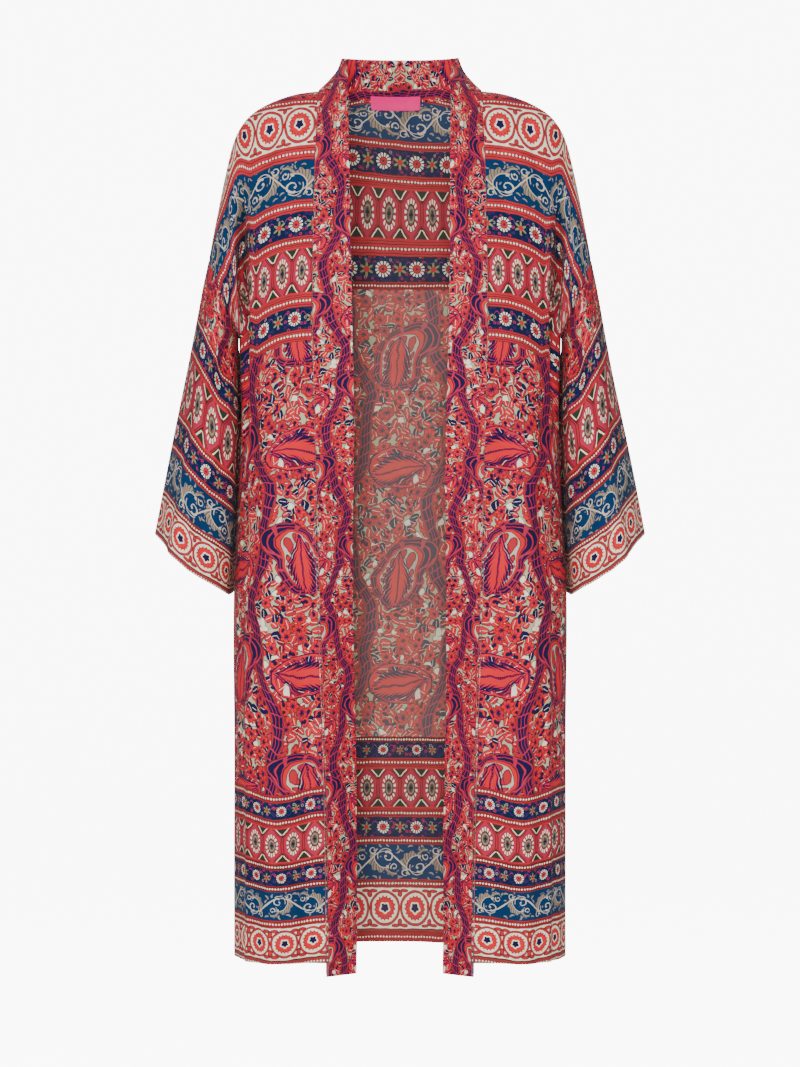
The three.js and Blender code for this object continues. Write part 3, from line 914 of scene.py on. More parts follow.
@dataclass
class NeckBand:
    """The band that runs up a front edge and round the neck, folded double along its length."""

    shape: CoatShape
    side: int
    half_depth: float = 1.15
    seam_gap: float = 1.1
    end_pinch: float = 6.0
    lap: float = 2.2  # how far the inner layer reaches over the seam, and its room there
    lap_room: float = 0.9
    back_gain: float = 2.6  # how much wider it is drawn at the centre back
    flat_steps: int = 9
    bury: float = 0.8  # how far under the cloth's outer side the seam runs
    pinch: float = 0.42  # how much thinner the band is at its lower end
    below_steps: int = 3

    def path(self) -> tuple[Array, Array]:
        """Returns the seam's points from below the hem to the centre back, and their places."""
        points, normals = self.shape.front[self.side]
        on_front = (points[:, 0] - normals[:, 0] * self.bury)[::-1]
        columns = [BACK_MIDDLE + self.side * k for k in range(NECK_COLUMNS - 1, -1, -1)]
        shape, steps = self.shape, self.below_steps
        back = shape.back_points[0, columns] - shape.back_normals[0, columns] * self.bury
        below = np.linspace(BAND_BELOW_HEM, 0, steps + 1)[:-1, None] * [0, 0, -1] + on_front[:1]
        round_neck = -(1 + np.arange(NECK_COLUMNS)) / NECK_COLUMNS
        down = np.concatenate([np.ones(steps), PANEL_DOWN[::-1], round_neck])
        return np.concatenate([below, on_front, back]), down

    def section(self) -> tuple[Array, Array, Array, Array]:
        """Returns the folded strip's cross-section: width, height, and the outward direction."""
        radius, reach = self.half_depth, BAND_WIDTH - self.half_depth
        flat = np.linspace(self.seam_gap, reach, self.flat_steps)
        inner = np.concatenate([flat[::-1], [0.0, -self.lap]])
        turn = np.linspace(np.pi / 2, -np.pi / 2, 7)[1:-1]
        width = np.concatenate([flat, reach + radius * np.cos(turn), inner])
        deep = -radius - self.lap_room * (1 - smooth(0, 8, inner))
        height = np.concatenate([flat * 0 + radius, radius * np.sin(turn), deep])
        out_w = np.concatenate([flat * 0, np.cos(turn), inner * 0])
        out_h = np.concatenate([flat * 0 + 1, np.sin(turn), inner * 0 - 1])
        return width, height, out_w, out_h

    def sheet(self) -> Sheet:
        """Returns the folded strip."""
        seam, down = self.path()
        along = np.gradient(seam, axis=0)
        along[-1] = [-self.side, 0, 0]
        along = unit(along)
        across = stack(*(BAND_TURN.read(c, down) for c in "xyz")) * [self.side, 1, 1]
        across = unit(across - along * np.sum(across * along, axis=-1, keepdims=True))
        normal = unit(np.cross(along, across)) * self.side
        run = lengths(seam, 0)
        width, height, out_w, out_h = self.section()
        free = smooth(2, 25, width)
        wave = 0.9 * np.sin(run / 31 + self.side) + 0.6 * np.sin(run / 13.7 + 2 * self.side)
        sway = 1.3 * np.sin(run / 83 + 0.7 * self.side) * smooth(60, 160, run)
        pinch = 1 - self.pinch * (1 - smooth(0, self.end_pinch, run))
        lift = height[None] * pinch[:, None] + free[None] * (wave * 0.55)[:, None]
        side_step = width[None] + free[None] * sway[:, None] * smooth(0, 90, run[-1] - run)[:, None]
        gain = self.back_gain * smooth(0.3, 1, -down)
        side_step = side_step + free[None] * gain[:, None]
        points = (
            seam[:, None]
            + across[:, None] * side_step[..., None]
            + normal[:, None] * lift[..., None]
        )
        normals = unit(
            across[:, None] * out_w[None, :, None] + normal[:, None] * out_h[None, :, None]
        )
        points[-1, :, 0] = 0
        normals[-1, :, 0] = 0
        normals[-1] = unit(normals[-1])
        u = lengths(points[len(points) // 2][None], 1)[0]
        v = run[-1] - run
        return Sheet(points, normals, np.stack(np.meshgrid(u, v), axis=-1))


@dataclass
class NeckLabel:
    """The bare satin label, sewn by its ends inside the back under the neck seam."""

    left: float = -0.072
    right: float = 0.049
    top: float = 0.0015
    bottom: float = 0.0335
    lift: float = 2.4
    thickness: float = 0.45
    rise: float = 6.6  # how far its top lies over the band
    lean: float = 0.14
    columns: int = 33
    rows: int = 13

    def sheet(self) -> Sheet:
        """Returns the label, a little bowed away from the back between its sewn ends."""
        cloth = Cloth(back_form, BACK_FALLS + BACK_CREASES, -1, panel_fade)
        across = np.linspace(self.left, self.right, self.columns)
        down = np.linspace(self.top, self.bottom, self.rows)
        points, normals = cloth.sampled(across, down)
        share = np.linspace(0, 1, self.columns)[None]
        fall = np.linspace(0, 1, self.rows)[:, None]
        bow = 0.75 * np.sin(np.pi * share) ** 0.7 * (0.4 + 0.6 * fall)
        bow = bow + 0.16 * np.sin(share * 17) * fall
        up = unit(points[:1] - points[-1:])
        above = np.maximum(0, self.rise - lengths(points, 0))
        lift = self.lift + bow + self.lean * above
        points = points + up * self.rise - normals * lift[..., None]
        u, v = lengths(points, 1), lengths(points, 0)
        return Sheet(points, normals, np.stack([u, v], axis=-1))


@dataclass
class Stitching:
    """A run of machine stitches that lie on the cloth, each a small rounded thread."""

    pitch: float = 3.1
    length: float = 2.3
    thickness: float = 0.42

    def stitch(self) -> tuple[Array, list[tuple[int, ...]]]:
        """Models one stitch along X and returns its points and faces."""
        bpy.ops.mesh.primitive_uv_sphere_add(segments=6, ring_count=4, radius=0.5)
        thing = bpy.context.object
        bpy.ops.object.mode_set(mode="EDIT")
        bpy.ops.mesh.select_all(action="SELECT")
        bpy.ops.transform.rotate(value=QUARTER, orient_axis="Y", center_override=(0, 0, 0))
        bpy.ops.transform.resize(value=(self.length, self.thickness, self.thickness))
        bpy.ops.object.mode_set(mode="OBJECT")
        points = np.array([v.co[:] for v in thing.data.vertices])
        faces = [tuple(p.vertices) for p in thing.data.polygons]
        mesh = thing.data
        bpy.data.objects.remove(thing)
        bpy.data.meshes.remove(mesh)
        return points, faces

    def along(self, name: str, line: Array, out: Array) -> bpy.types.Object:
        """Lays stitches along a line on the cloth.

        Args:
            name: The piece's name.
            line: Points of the line, on the cloth's outer side.
            out: The cloth's outward directions there.

        Returns:
            The piece.
        """
        shape, shape_faces = self.stitch()
        run = lengths(line, 0)
        vertices: list[Array] = []
        faces: list[tuple[int, ...]] = []
        for k in range(int((run[-1] - self.length) / self.pitch)):
            start = self.length / 2 + k * self.pitch
            ends = [
                np.array([np.interp(start + d, run, line[:, c]) for c in range(3)])
                for d in (-self.length / 2, self.length / 2)
            ]
            up = unit(np.array([np.interp(start, run, out[:, c]) for c in range(3)]))
            way = unit(ends[1] - ends[0])
            aside = unit(np.cross(up, way))
            up = np.cross(way, aside)
            middle = (ends[0] + ends[1]) / 2
            faces += [tuple(i + len(vertices) * len(shape) for i in face) for face in shape_faces]
            vertices.append(
                middle + shape[:, :1] * way + shape[:, 1:2] * aside + shape[:, 2:] * up
            )
        return new_mesh_object(name, np.concatenate(vertices), faces)


def hem_line(sheet: Sheet, up: float, lift: float) -> tuple[Array, Array]:
    """Returns a line on a sheet, some way above its turned edge.

    Args:
        sheet: A sheet with its edge turned up.
        up: How far above the fold the line lies.
        lift: How far it stands out from the sheet's outer side.

    Returns:
        The line's points and the outward directions there.
    """
    last = sheet.points.shape[0] - HEM_ROUND_STEPS - HEM_UP_STEPS
    run = lengths(sheet.points[:last], 0)
    line, out = [], []
    for j in range(sheet.points.shape[1]):
        at = run[-1, j] - up
        line.append([np.interp(at, run[:, j], sheet.points[:last, j, c]) for c in range(3)])
        out.append([np.interp(at, run[:, j], sheet.normals[:last, j, c]) for c in range(3)])
    out_way = unit(np.array(out))
    return np.array(line) - out_way * (INSET - lift), out_way


Number = "Flow | float"


def node_op(operation: str, swapped: bool = False) -> Callable[..., "Flow"]:
    """Makes a method of Flow that adds one Math node.

    Args:
        operation: The node's operation.
        swapped: True where the flow is the last value and not the first.

    Returns:
        The method.
    """

    def method(flow: "Flow", *others: Number) -> "Flow":
        """Adds the node and returns its output."""
        values = (*others, flow) if swapped else (flow, *others)
        return flow.tree.math(operation, *values)

    return method


class Flow:
    """A number that changes over the cloth: a node's output, with arithmetic that adds nodes.

    A comparison gives a mask, 1 where it holds; & joins two masks and | gives either.
    """

    def __init__(self, tree: "Tree", socket: bpy.types.NodeSocket) -> None:
        """Keeps the tree and the output."""
        self.tree = tree
        self.socket = socket

    __add__ = __radd__ = node_op("ADD")
    __sub__, __rsub__ = node_op("SUBTRACT"), node_op("SUBTRACT", swapped=True)
    __mul__ = __rmul__ = __and__ = node_op("MULTIPLY")
    __truediv__, __rtruediv__ = node_op("DIVIDE"), node_op("DIVIDE", swapped=True)
    __or__ = at_least = node_op("MAXIMUM")
    __lt__, __gt__, near = node_op("LESS_THAN"), node_op("GREATER_THAN"), node_op("COMPARE")
    __abs__, __pow__ = node_op("ABSOLUTE"), node_op("POWER")
    frac, floor = node_op("FRACT"), node_op("FLOOR")
    sin, cos = node_op("SINE"), node_op("COSINE")

    def op(self, operation: str, *others: Number) -> "Flow":
        """Adds a Math node whose first value is this one."""
        return self.tree.math(operation, self, *others)

    def __neg__(self) -> "Flow":
        """Turns the sign."""
        return self * -1.0

    def odd(self) -> "Flow":
        """1 where this whole number is odd, 0 where it is even."""
        return self.op("FLOORED_MODULO", 2.0)

    def teeth(self) -> "Flow":
        """A zigzag between 0 and 1, once for each whole number."""
        return abs((self.frac() - 0.5) * 2.0)


Ink = tuple[float, float, float, float]
Colour = bpy.types.NodeSocket | Ink
Socket = bpy.types.NodeSocket


class Tree:
    """A node tree that a finish is drawn in."""

    def __init__(self, nodes: bpy.types.NodeTree) -> None:
        """Keeps the tree."""
        self.nodes = nodes

    def add(self, kind: str, inputs: dict[str | int, object], **settings: object) -> bpy.types.Node:
        """Adds a node.

        Args:
            kind: The node's type, without its first word.
            inputs: What goes into its sockets: a Flow, a socket or a plain value.
            **settings: Its own options.

        Returns:
            The node.
        """
        node = self.nodes.nodes.new("ShaderNode" + kind)
        for name, value in settings.items():
            setattr(node, name, value)
        for key, value in inputs.items():
            self.feed(node.inputs[key], value)
        return node

    def feed(self, socket: Socket, value: object) -> None:
        """Links or sets one input."""
        source = value.socket if isinstance(value, Flow) else value
        if isinstance(source, Socket):
            self.nodes.links.new(source, socket)
        else:
            socket.default_value = source

    def math(self, operation: str, *values: Number) -> Flow:
        """Adds a Math node."""
        return Flow(self, self.add("Math", dict(enumerate(values)), operation=operation).outputs[0])

    def vector(self, operation: str, *values: object) -> Socket:
        """Adds a Vector Math node and returns its vector."""
        return self.add("VectorMath", dict(enumerate(values)), operation=operation).outputs[0]

    def split(self, vector: Socket) -> tuple[Flow, Flow, Flow]:
        """Returns a vector's three numbers."""
        return tuple(Flow(self, out) for out in self.add("SeparateXYZ", {0: vector}).outputs)

    def join(self, x: Number, y: Number, z: Number = 0.0) -> Socket:
        """Returns a vector of three numbers."""
        return self.add("CombineXYZ", {0: x, 1: y, 2: z}).outputs[0]

    def paint(self, ground: Colour, mask: Number, ink: Colour, blend: str = "MIX") -> Socket:
        """Paints an ink over a ground where a mask is."""
        inputs = {0: mask, 6: ground, 7: ink}
        return self.add("Mix", inputs, data_type="RGBA", blend_type=blend).outputs[2]

    def layers(self, ground: Colour, *layers: tuple[Flow, Colour]) -> Socket:
        """Paints layer over layer on a ground, each a mask and its ink."""
        for mask, ink in layers:
            ground = self.paint(ground, mask, ink)
        return ground

    def noise(self, place: Socket, scale: float, detail: float = 2.0) -> Flow:
        """Returns noise between 0 and 1."""
        inputs = {"Vector": place, "Scale": scale, "Detail": detail}
        return Flow(self, self.add("TexNoise", inputs).outputs["Fac"])

    def bump(self, height: Flow, distance: float, strength: float = 1.0) -> Socket:
        """Returns the normal of a relief."""
        inputs = {"Height": height, "Distance": distance, "Strength": strength}
        return self.add("Bump", inputs).outputs[0]

    def cells(self, x: Flow, y: Flow, evenness: float) -> tuple[Flow, Flow, Flow, Flow]:
        """Scatters cells over a plane.

        Args:
            x: Coordinates, one to a cell.
            y: The other coordinates.
            evenness: 0 sets the cells in rows, 1 at random.

        Returns:
            The place from the cell's own centre, and two numbers of the cell's own.
        """
        inputs = {"Vector": self.join(x, y), "Scale": 1.0, "Randomness": evenness}
        node = self.add("TexVoronoi", inputs, voronoi_dimensions="2D")
        centre_x, centre_y, _ = self.split(node.outputs["Position"])
        one, two, _ = self.split(node.outputs["Color"])
        return x - centre_x, y - centre_y, one, two

    def polar(self, x: Flow, y: Flow) -> tuple[Flow, Flow]:
        """Returns the distance and the angle of a place, from the +Y way round to +X."""
        return (x * x + y * y).op("SQRT"), x.op("ARCTAN2", y)

    def turned(self, x: Flow, y: Flow, angle: Flow) -> tuple[Flow, Flow]:
        """Returns a place's coordinates in axes that are turned by an angle."""
        cos, sin = angle.cos(), angle.sin()
        return x * cos + y * sin, y * cos - x * sin


def ink(red: int, green: int, blue: int) -> Ink:
    """Returns a colour, given as it looks on a screen, as a shader needs it."""

    def linear(value: int) -> float:
        """Returns one channel."""
        share = value / 255
        return share / 12.92 if share <= 0.04045 else ((share + 0.055) / 1.055) ** 2.4

    return (linear(red), linear(green), linear(blue), 1.0)


class INKS:
    """The colours of the print."""

    coral = ink(188, 42, 54)
    bright = ink(216, 38, 48)
    rose = ink(180, 42, 70)
    dark_red = ink(128, 20, 40)
    cream = ink(248, 236, 208)
    sage = ink(186, 178, 140)
    navy = ink(26, 20, 66)
    floral_ground = ink(8, 30, 66)
    teal = ink(2, 48, 88)
    brown = ink(82, 38, 36)
    olive = ink(98, 84, 62)
    taupe = ink(146, 132, 120)
    pearl = ink(200, 186, 168)
    brick = ink(150, 52, 54)
    purple = ink(60, 32, 92)
    pink = ink(168, 48, 100)
    leaf = ink(128, 136, 86)
    pine = ink(34, 52, 42)
    worn = ink(206, 202, 200)


TURN = 2 * math.pi


@dataclass
class Spot:
    """A place in a border: x in pitches, y from 0 to 1 down it, and the sizes in millimetres."""

    x: Flow
    y: Flow
    pitch: Flow
    height: Flow

    @property
    def cell(self) -> Flow:
        """The place in its pitch, from -0.5 to 0.5."""
        return self.x.frac() - 0.5

    @property
    def dy(self) -> Flow:
        """The distance below the border's middle."""
        return (self.y - 0.5) * self.height

    def every(self, spacing: Number) -> Flow:
        """The distance across from the nearest of a row of marks with a spacing of their own."""
        return ((self.x * self.pitch / spacing).frac() - 0.5) * spacing


def draw_beads(tree: Tree, spot: Spot) -> Socket:
    """Draws a row of cream beads between dark lines and returns its colour."""
    away = abs(spot.dy)
    spacing = spot.height * 0.1 + 2.7
    dx = spot.every(spacing)
    return tree.layers(
        INKS.coral,
        (away.near(spot.height * 0.3, 0.5), INKS.brown),
        (away > (spot.height * 0.5 - 0.7), INKS.brown),
        (away < 1.9, INKS.dark_red),
        ((dx * dx + spot.dy * spot.dy).op("SQRT") < (spacing * 0.32), INKS.cream),
    )


def draw_edge(tree: Tree, spot: Spot) -> Socket:
    """Draws the brick-red edge with its fine dots and returns its colour."""
    dx = spot.every(3.7)
    return tree.layers(
        INKS.brick,
        (abs(spot.dy) > (spot.height * 0.5 - 1.3), INKS.brown),
        ((dx * dx + spot.dy * spot.dy) < 1.2, INKS.cream),
    )


def draw_rosettes(tree: Tree, spot: Spot) -> Socket:
    """Draws ringed rosettes on cream, with trefoils between them, and returns the colour."""
    cell, dy = spot.cell, spot.dy
    e, angle = tree.polar(cell * (2.0 / 0.99), (spot.y - 0.5) * (2.0 / 0.88))
    saw = (angle * (17 / TURN)).teeth()
    tx = (0.5 - abs(cell)) * spot.pitch
    ty = spot.height * 0.5 - abs(dy)
    upright = (tx / 2.6) ** 2.0 + ((ty - 8.0) / 3.6) ** 2.0
    lying = ((tx - 5.2) / 4.2) ** 2.0 + ((ty - 3.6) / 1.9) ** 2.0
    trefoil = upright.op("MINIMUM", lying)
    petal = e - saw * 0.13
    heart = e - (angle * 5.0).cos() * 0.035
    return tree.layers(
        INKS.cream,
        (trefoil < 1.5, INKS.brown),
        (trefoil < 0.8, INKS.coral),
        (e.near(0.93, 0.085), INKS.brown),
        (e.near(0.93, 0.05), INKS.coral),
        (e < 0.845, INKS.cream),
        (petal < 0.6, INKS.dark_red),
        (petal < 0.56, INKS.bright),
        (e.near(0.56, 0.07) & (saw < 0.16), INKS.brown),
        (heart < 0.33, INKS.cream),
        (heart < 0.23, INKS.navy),
    )


Circle = tuple[float, float, float]


def crescent(
    tree: Tree, x: Flow, y: Flow, moon: Circle, bite: Circle, lobes: float = 0.0
) -> Flow:
    """Returns the mask of a circle with another circle bitten out of it.

    Args:
        tree: The tree to draw in.
        x: Millimetres across.
        y: Millimetres down.
        moon: The circle's centre and radius.
        bite: The other circle's centre and radius.
        lobes: How far the lobes of its outer edge go in and out.

    Returns:
        The mask.
    """
    r, angle = tree.polar(x - moon[0], y - moon[1])
    inside = (r + (angle * 9.0).cos() * lobes) < moon[2]
    return inside & (tree.polar(x - bite[0], y - bite[1])[0] > bite[2])


def hook(tree: Tree, x: Flow, y: Flow, ring: Circle, turn: float, width: float) -> Flow:
    """Returns the mask of a curl: a ring that thins out, with a ball at its inner end.

    Args:
        tree: The tree to draw in.
        x: Millimetres across.
        y: Millimetres down.
        ring: The ring's centre and radius.
        turn: Where the ring starts, as a share of a turn.
        width: Half its width at the thick end.

    Returns:
        The mask.
    """
    end, inner = 0.86, 0.52  # where the ring ends, and the ball's distance in radii
    r, angle = tree.polar(x - ring[0], y - ring[1])
    share = (angle / TURN + turn).frac()
    line = abs(r - (1.0 - share * 0.28) * ring[2]) < ((1.15 - share) * width)
    ball_x = ring[0] + math.sin((end - turn) * TURN) * ring[2] * inner
    ball_y = ring[1] + math.cos((end - turn) * TURN) * ring[2] * inner
    ball = tree.polar(x - ball_x, y - ball_y)[0] < (width * 1.15)
    return (line & (share < end)) | ball


def draw_scroll(tree: Tree, spot: Spot) -> Socket:
    """Draws leafy scrolls on deep teal and returns their colour."""
    x = spot.x
    half = x * 2.0
    flip = 1.0 - half.floor().odd() * 2.0
    size = 50.0 / spot.height
    px = (half.frac() - 0.5) * spot.pitch * 0.5 * size
    py = spot.dy * flip * size
    # small sprigs and drops in the gaps
    lx, ly, one, two = tree.cells(x * spot.pitch / 9.0 + 9.0, spot.dy / 8.0, 0.9)
    ax, ay = tree.turned(lx, ly, one * 6.0)
    drop = ((ax / 0.4) ** 2.0 + ((ay + ax * ax) / 0.13) ** 2.0) < 1.0
    # a clear edge round the stem and the leaves
    gap = abs(spot.dy - (x * TURN).sin() * spot.height * 0.3)
    clear = (
        (gap < 3.6)
        | crescent(tree, px, py, (-5.0, 2.0, 18.6), (5.5, 10.0, 12.0), 1.2)
        | (tree.polar(px - 6.0, py - 8.0)[0] < 9.4)
        | (tree.polar(px - 12.0, py + 11.0)[0] < 10.6)
        | (tree.polar(px + 16.0, py - 16.5)[0] < 6.4)
    )
    # broad lobed leaves with veins and a pale inner edge
    leaves = (
        crescent(tree, px, py, (-5.0, 2.0, 16.6), (2.6, 7.4, 15.6), 1.6)
        | crescent(tree, px, py, (12.0, -11.0, 9.0), (14.2, -8.0, 7.6), 0.8)
    )
    r, angle = tree.polar(px - 2.6, py - 7.4)
    # curls and the thin sprays beside them
    curls = (
        hook(tree, px, py, (6.0, 8.0, 6.8), 0.1, 1.4)
        | hook(tree, px, py, (-16.0, 16.5, 4.6), 0.6, 1.0)
        | hook(tree, px, py, (14.6, -7.4, 4.4), 0.35, 1.0)
        | (r.near(11.6, 0.6) & ((angle / TURN + 0.3).frac() < 0.42))
    )
    stem = gap < ((x * (2 * TURN)).cos() * 0.5 + 0.85)
    return tree.layers(
        INKS.teal,
        (drop & (two > 0.2), INKS.taupe),
        (clear, INKS.teal),
        (leaves, INKS.taupe),
        (leaves & ((angle * (24 / TURN) + r * 0.16).frac() < 0.34), INKS.olive),
        (leaves & (r < 16.8), INKS.pearl),
        (curls | stem, INKS.pearl),
    )


def draw_daisies(tree: Tree, spot: Spot) -> Socket:
    """Draws daisies, sprigs and thin vines on dark blue and returns the colour."""
    cell, dy, height = spot.cell, spot.dy, spot.height
    scale = 24.0 / height
    swing = (spot.x * (2 * TURN)).cos() * height * 0.3
    lx, ly, one, two = tree.cells(spot.x * spot.pitch / 5.2, dy / 5.2, 0.9)
    bit, _ = tree.polar(lx, ly)
    bit_ink = tree.layers(INKS.rose, (two > 0.4, INKS.purple), (two > 0.86, INKS.taupe))
    sprig, turn = tree.polar((0.5 - abs(cell)) * spot.pitch * scale, dy * scale)
    daisy, angle = tree.polar(cell * spot.pitch * scale, dy * scale)
    return tree.layers(
        INKS.floral_ground,
        ((dy - swing).near(0.0, 0.5), INKS.pink),
        ((dy + swing).near(0.0, 0.55), INKS.purple),
        (bit.near(0.26, 0.09) & (one > 0.35), bit_ink),
        (sprig < 6.0, INKS.floral_ground),
        (sprig < (4.4 + (turn * 6.0).cos() * 2.4), INKS.leaf),
        (sprig < 2.6, INKS.coral),
        (daisy < 8.4, INKS.floral_ground),
        (daisy.near(5.9, 1.7) & ((angle * 13.0).cos() > -0.3), INKS.cream),
        (daisy < 4.3, INKS.brown),
        (daisy < 3.7, INKS.coral),
        (daisy < 1.1, INKS.navy),
    )


def draw_medallions(tree: Tree, spot: Spot) -> Socket:
    """Draws oval medallions in pointed frames on coral and returns the colour."""
    cell = spot.cell
    up = abs(spot.y - 0.5) * 2.0
    rim = abs(cell) * 2.0 - (0.95 - (up - 0.38).at_least(0.0) * 1.5)
    e, angle = tree.polar(cell * (2.0 / 0.62), (spot.y - 0.5) * (2.0 / 0.64))
    ruffle = (angle * 14.0).cos()
    return tree.layers(
        INKS.coral,
        ((rim > 0.14) & (up < 0.9), INKS.brown),
        (rim.near(0.25, 0.06) & (up > 0.55) & (up < 0.9), INKS.cream),
        ((rim > 0.38) & (up < 0.86), INKS.pine),
        (rim.near(0.1, 0.055), INKS.brown),
        (rim < -0.02, INKS.brown),
        (rim < -0.1, INKS.rose),
        ((up > 0.9) & (rim > -0.1), INKS.coral),
        ((e + ruffle * 0.03) < 0.62, INKS.brown),
        (e.near(0.82, 0.2) & (ruffle > -0.42), INKS.brown),
        (e.near(0.82, 0.155) & (ruffle > -0.1), INKS.cream),
        (e < 0.56, INKS.olive),
        (e.near(0.42, 0.05), INKS.taupe),
        (e < (0.2 + (angle * 4.0).cos() * 0.07), INKS.navy),
    )


COLUMN_WIDTH = 104.0  # the field's columns and their repeat, in millimetres
REPEAT = 268.0
WANDER = 16.0  # how far its drawing wanders


def draw_field(tree: Tree, u: Flow, v: Flow) -> Socket:
    """Draws the dense all-over print: petals, flowers, ribbons, paisleys and feathered leaves.

    Args:
        tree: The tree to draw in.
        u: Millimetres across the cloth.
        v: Millimetres down it.

    Returns:
        The colour.
    """
    u = u + (tree.noise(tree.join(u, v), 0.03) - 0.5) * WANDER
    v = v + (tree.noise(tree.join(v, u, 40.0), 0.03) - 0.5) * WANDER
    colour = draw_petals(tree, INKS.sage, u / 8.4, v / 8.4)
    colour = draw_curls(tree, colour, u, v)
    colour = draw_blooms(tree, colour, u, v)
    # wavy ribbons between the columns
    sway = (v * (TURN / REPEAT)).sin() * 15.0 + (v * (TURN / 92.0)).sin() * 5.0
    side = ((u + sway) / COLUMN_WIDTH + 0.5).frac() - 0.5
    colour = draw_slats(tree, colour, side * COLUMN_WIDTH, v + side * 60.0)
    # columns of paisleys and lying leaves, every second column turned over and dropped
    odd = (u / COLUMN_WIDTH).floor().odd()
    x = ((u / COLUMN_WIDTH).frac() - 0.5) * COLUMN_WIDTH * (1.0 - odd * 2.0)
    fall = v / REPEAT + odd * 0.5
    y = -((fall.frac() - 0.5) * REPEAT)
    r, angle = tree.polar(x + 4.0, y + 8.0)
    bent = (angle - r * 0.012).cos().at_least(0.0)
    colour = draw_rings(tree, colour, r / (31.0 + (bent ** 5.0) * 40.0), angle)
    colour = draw_leaf(tree, colour, x + 3.0 - y * 0.14, y + 2.0, 36.0, 11.0)
    y_lying = -((fall + 0.5).frac() - 0.5) * REPEAT
    across = x - 2.0 + y_lying * y_lying * 0.004
    r, _ = tree.polar(across * 0.62, y_lying)
    hollow = draw_petals(tree, INKS.rose, across / 9.0, y_lying / 12.0)
    colour = tree.layers(
        colour, (r < 25.0, INKS.navy), (r < 23.8, INKS.bright), (r < 21.5, hollow)
    )
    return draw_leaf(tree, colour, y_lying - across * 0.2, across, 38.0, 11.5)


def draw_petals(tree: Tree, ground: Colour, x: Flow, y: Flow) -> Socket:
    """Scatters small outlined petals over a ground, one to each whole x and y."""
    lx, ly, one, two = tree.cells(x, y, 0.95)
    ax, ay = tree.turned(lx, ly, one * 6.3)
    e = ((ax / 0.8) ** 2.0 + (ay / 0.5) ** 2.0).op("SQRT")
    petal_ink = tree.layers(
        INKS.coral,
        (two > 0.4, INKS.bright),
        (two > 0.62, INKS.dark_red),
        (two > 0.72, INKS.navy),
        (two > 0.92, INKS.cream),
    )
    vein = ay.near(0.0, 0.03) & (e < 0.6)
    return tree.layers(ground, (e < 1.0, INKS.navy), (e < 0.82, petal_ink), (vein, INKS.cream))


def draw_curls(tree: Tree, ground: Colour, u: Flow, v: Flow) -> Socket:
    """Scatters small red curls over a ground."""
    lx, ly, one, _ = tree.cells(u / 13.5 + 3.0, v / 13.5 + 7.0, 0.9)
    r, angle = tree.polar(lx, ly)
    loop = (one > 0.5) & ((angle / TURN + one * 3.0).frac() < 0.8)
    return tree.layers(
        ground,
        ((r < 0.38) & (one > 0.5), INKS.navy),
        (r.near(0.27, 0.13) & loop, INKS.brown),
        (r.near(0.27, 0.085) & loop, INKS.bright),
    )


def draw_blooms(tree: Tree, ground: Colour, u: Flow, v: Flow) -> Socket:
    """Scatters flowers with starred centres over a ground."""
    lx, ly, one, two = tree.cells(u / 20.0 + 5.0, v / 20.0, 0.8)
    r, angle = tree.polar(lx, ly)
    wave = (angle * 7.0 + one * 6.0).cos()
    lobes = r - wave * 0.05
    bloom = one > 0.36
    bloom_ink = tree.paint(INKS.coral, two > 0.5, INKS.bright)
    star = r < (0.135 + (angle * 8.0).cos() * 0.055)
    return tree.layers(
        ground,
        ((lobes < 0.38) & bloom, INKS.brown),
        ((lobes < 0.34) & bloom, bloom_ink),
        (((wave < -0.93) & r.near(0.22, 0.08)) & bloom, INKS.dark_red),
        (star & bloom, INKS.navy),
    )


def draw_slats(tree: Tree, ground: Colour, side: Flow, along: Flow) -> Socket:
    """Draws a ribbon of dark slats, bound across at intervals.

    Args:
        tree: The tree to draw in.
        ground: What lies under it.
        side: Millimetres from its middle line.
        along: Millimetres along it.

    Returns:
        The colour.
    """
    away = abs(side)
    bound = (along / 13.0).frac() < 0.88
    return tree.layers(
        ground,
        (away < 8.8, INKS.brown),
        (away < 8.2, INKS.coral),
        (away < 7.0, INKS.brown),
        (away < 6.4, INKS.rose),
        (bound & (away < 5.9), INKS.navy),
        (bound & away.near(2.2, 0.4), INKS.coral),
    )


def draw_rings(tree: Tree, ground: Colour, f: Flow, angle: Flow) -> Socket:
    """Draws the rings of a paisley.

    Args:
        tree: The tree to draw in.
        ground: What lies under it.
        f: 0 in the middle, 1 on the outline.
        angle: The angle round it.

    Returns:
        The colour.
    """
    rung = (angle * (13 / TURN) + f * 0.8).frac() < 0.84
    ray = (angle * (15 / TURN)).frac() - 0.5
    petal = (ray / 0.42) ** 2.0 + ((f - 0.5) / 0.13) ** 2.0
    return tree.layers(
        ground,
        (f < 1.0, INKS.brown),
        (f < 0.975, INKS.rose),
        (rung & f.near(0.86, 0.09), INKS.navy),
        (rung & f.near(0.86, 0.014), INKS.coral),
        (f < 0.75, INKS.brown),
        (f < 0.73, INKS.bright),
        (f < 0.66, INKS.brown),
        (f < 0.645, INKS.pearl),
        (petal < 1.0, INKS.brown),
        (petal < 0.7, INKS.coral),
    )


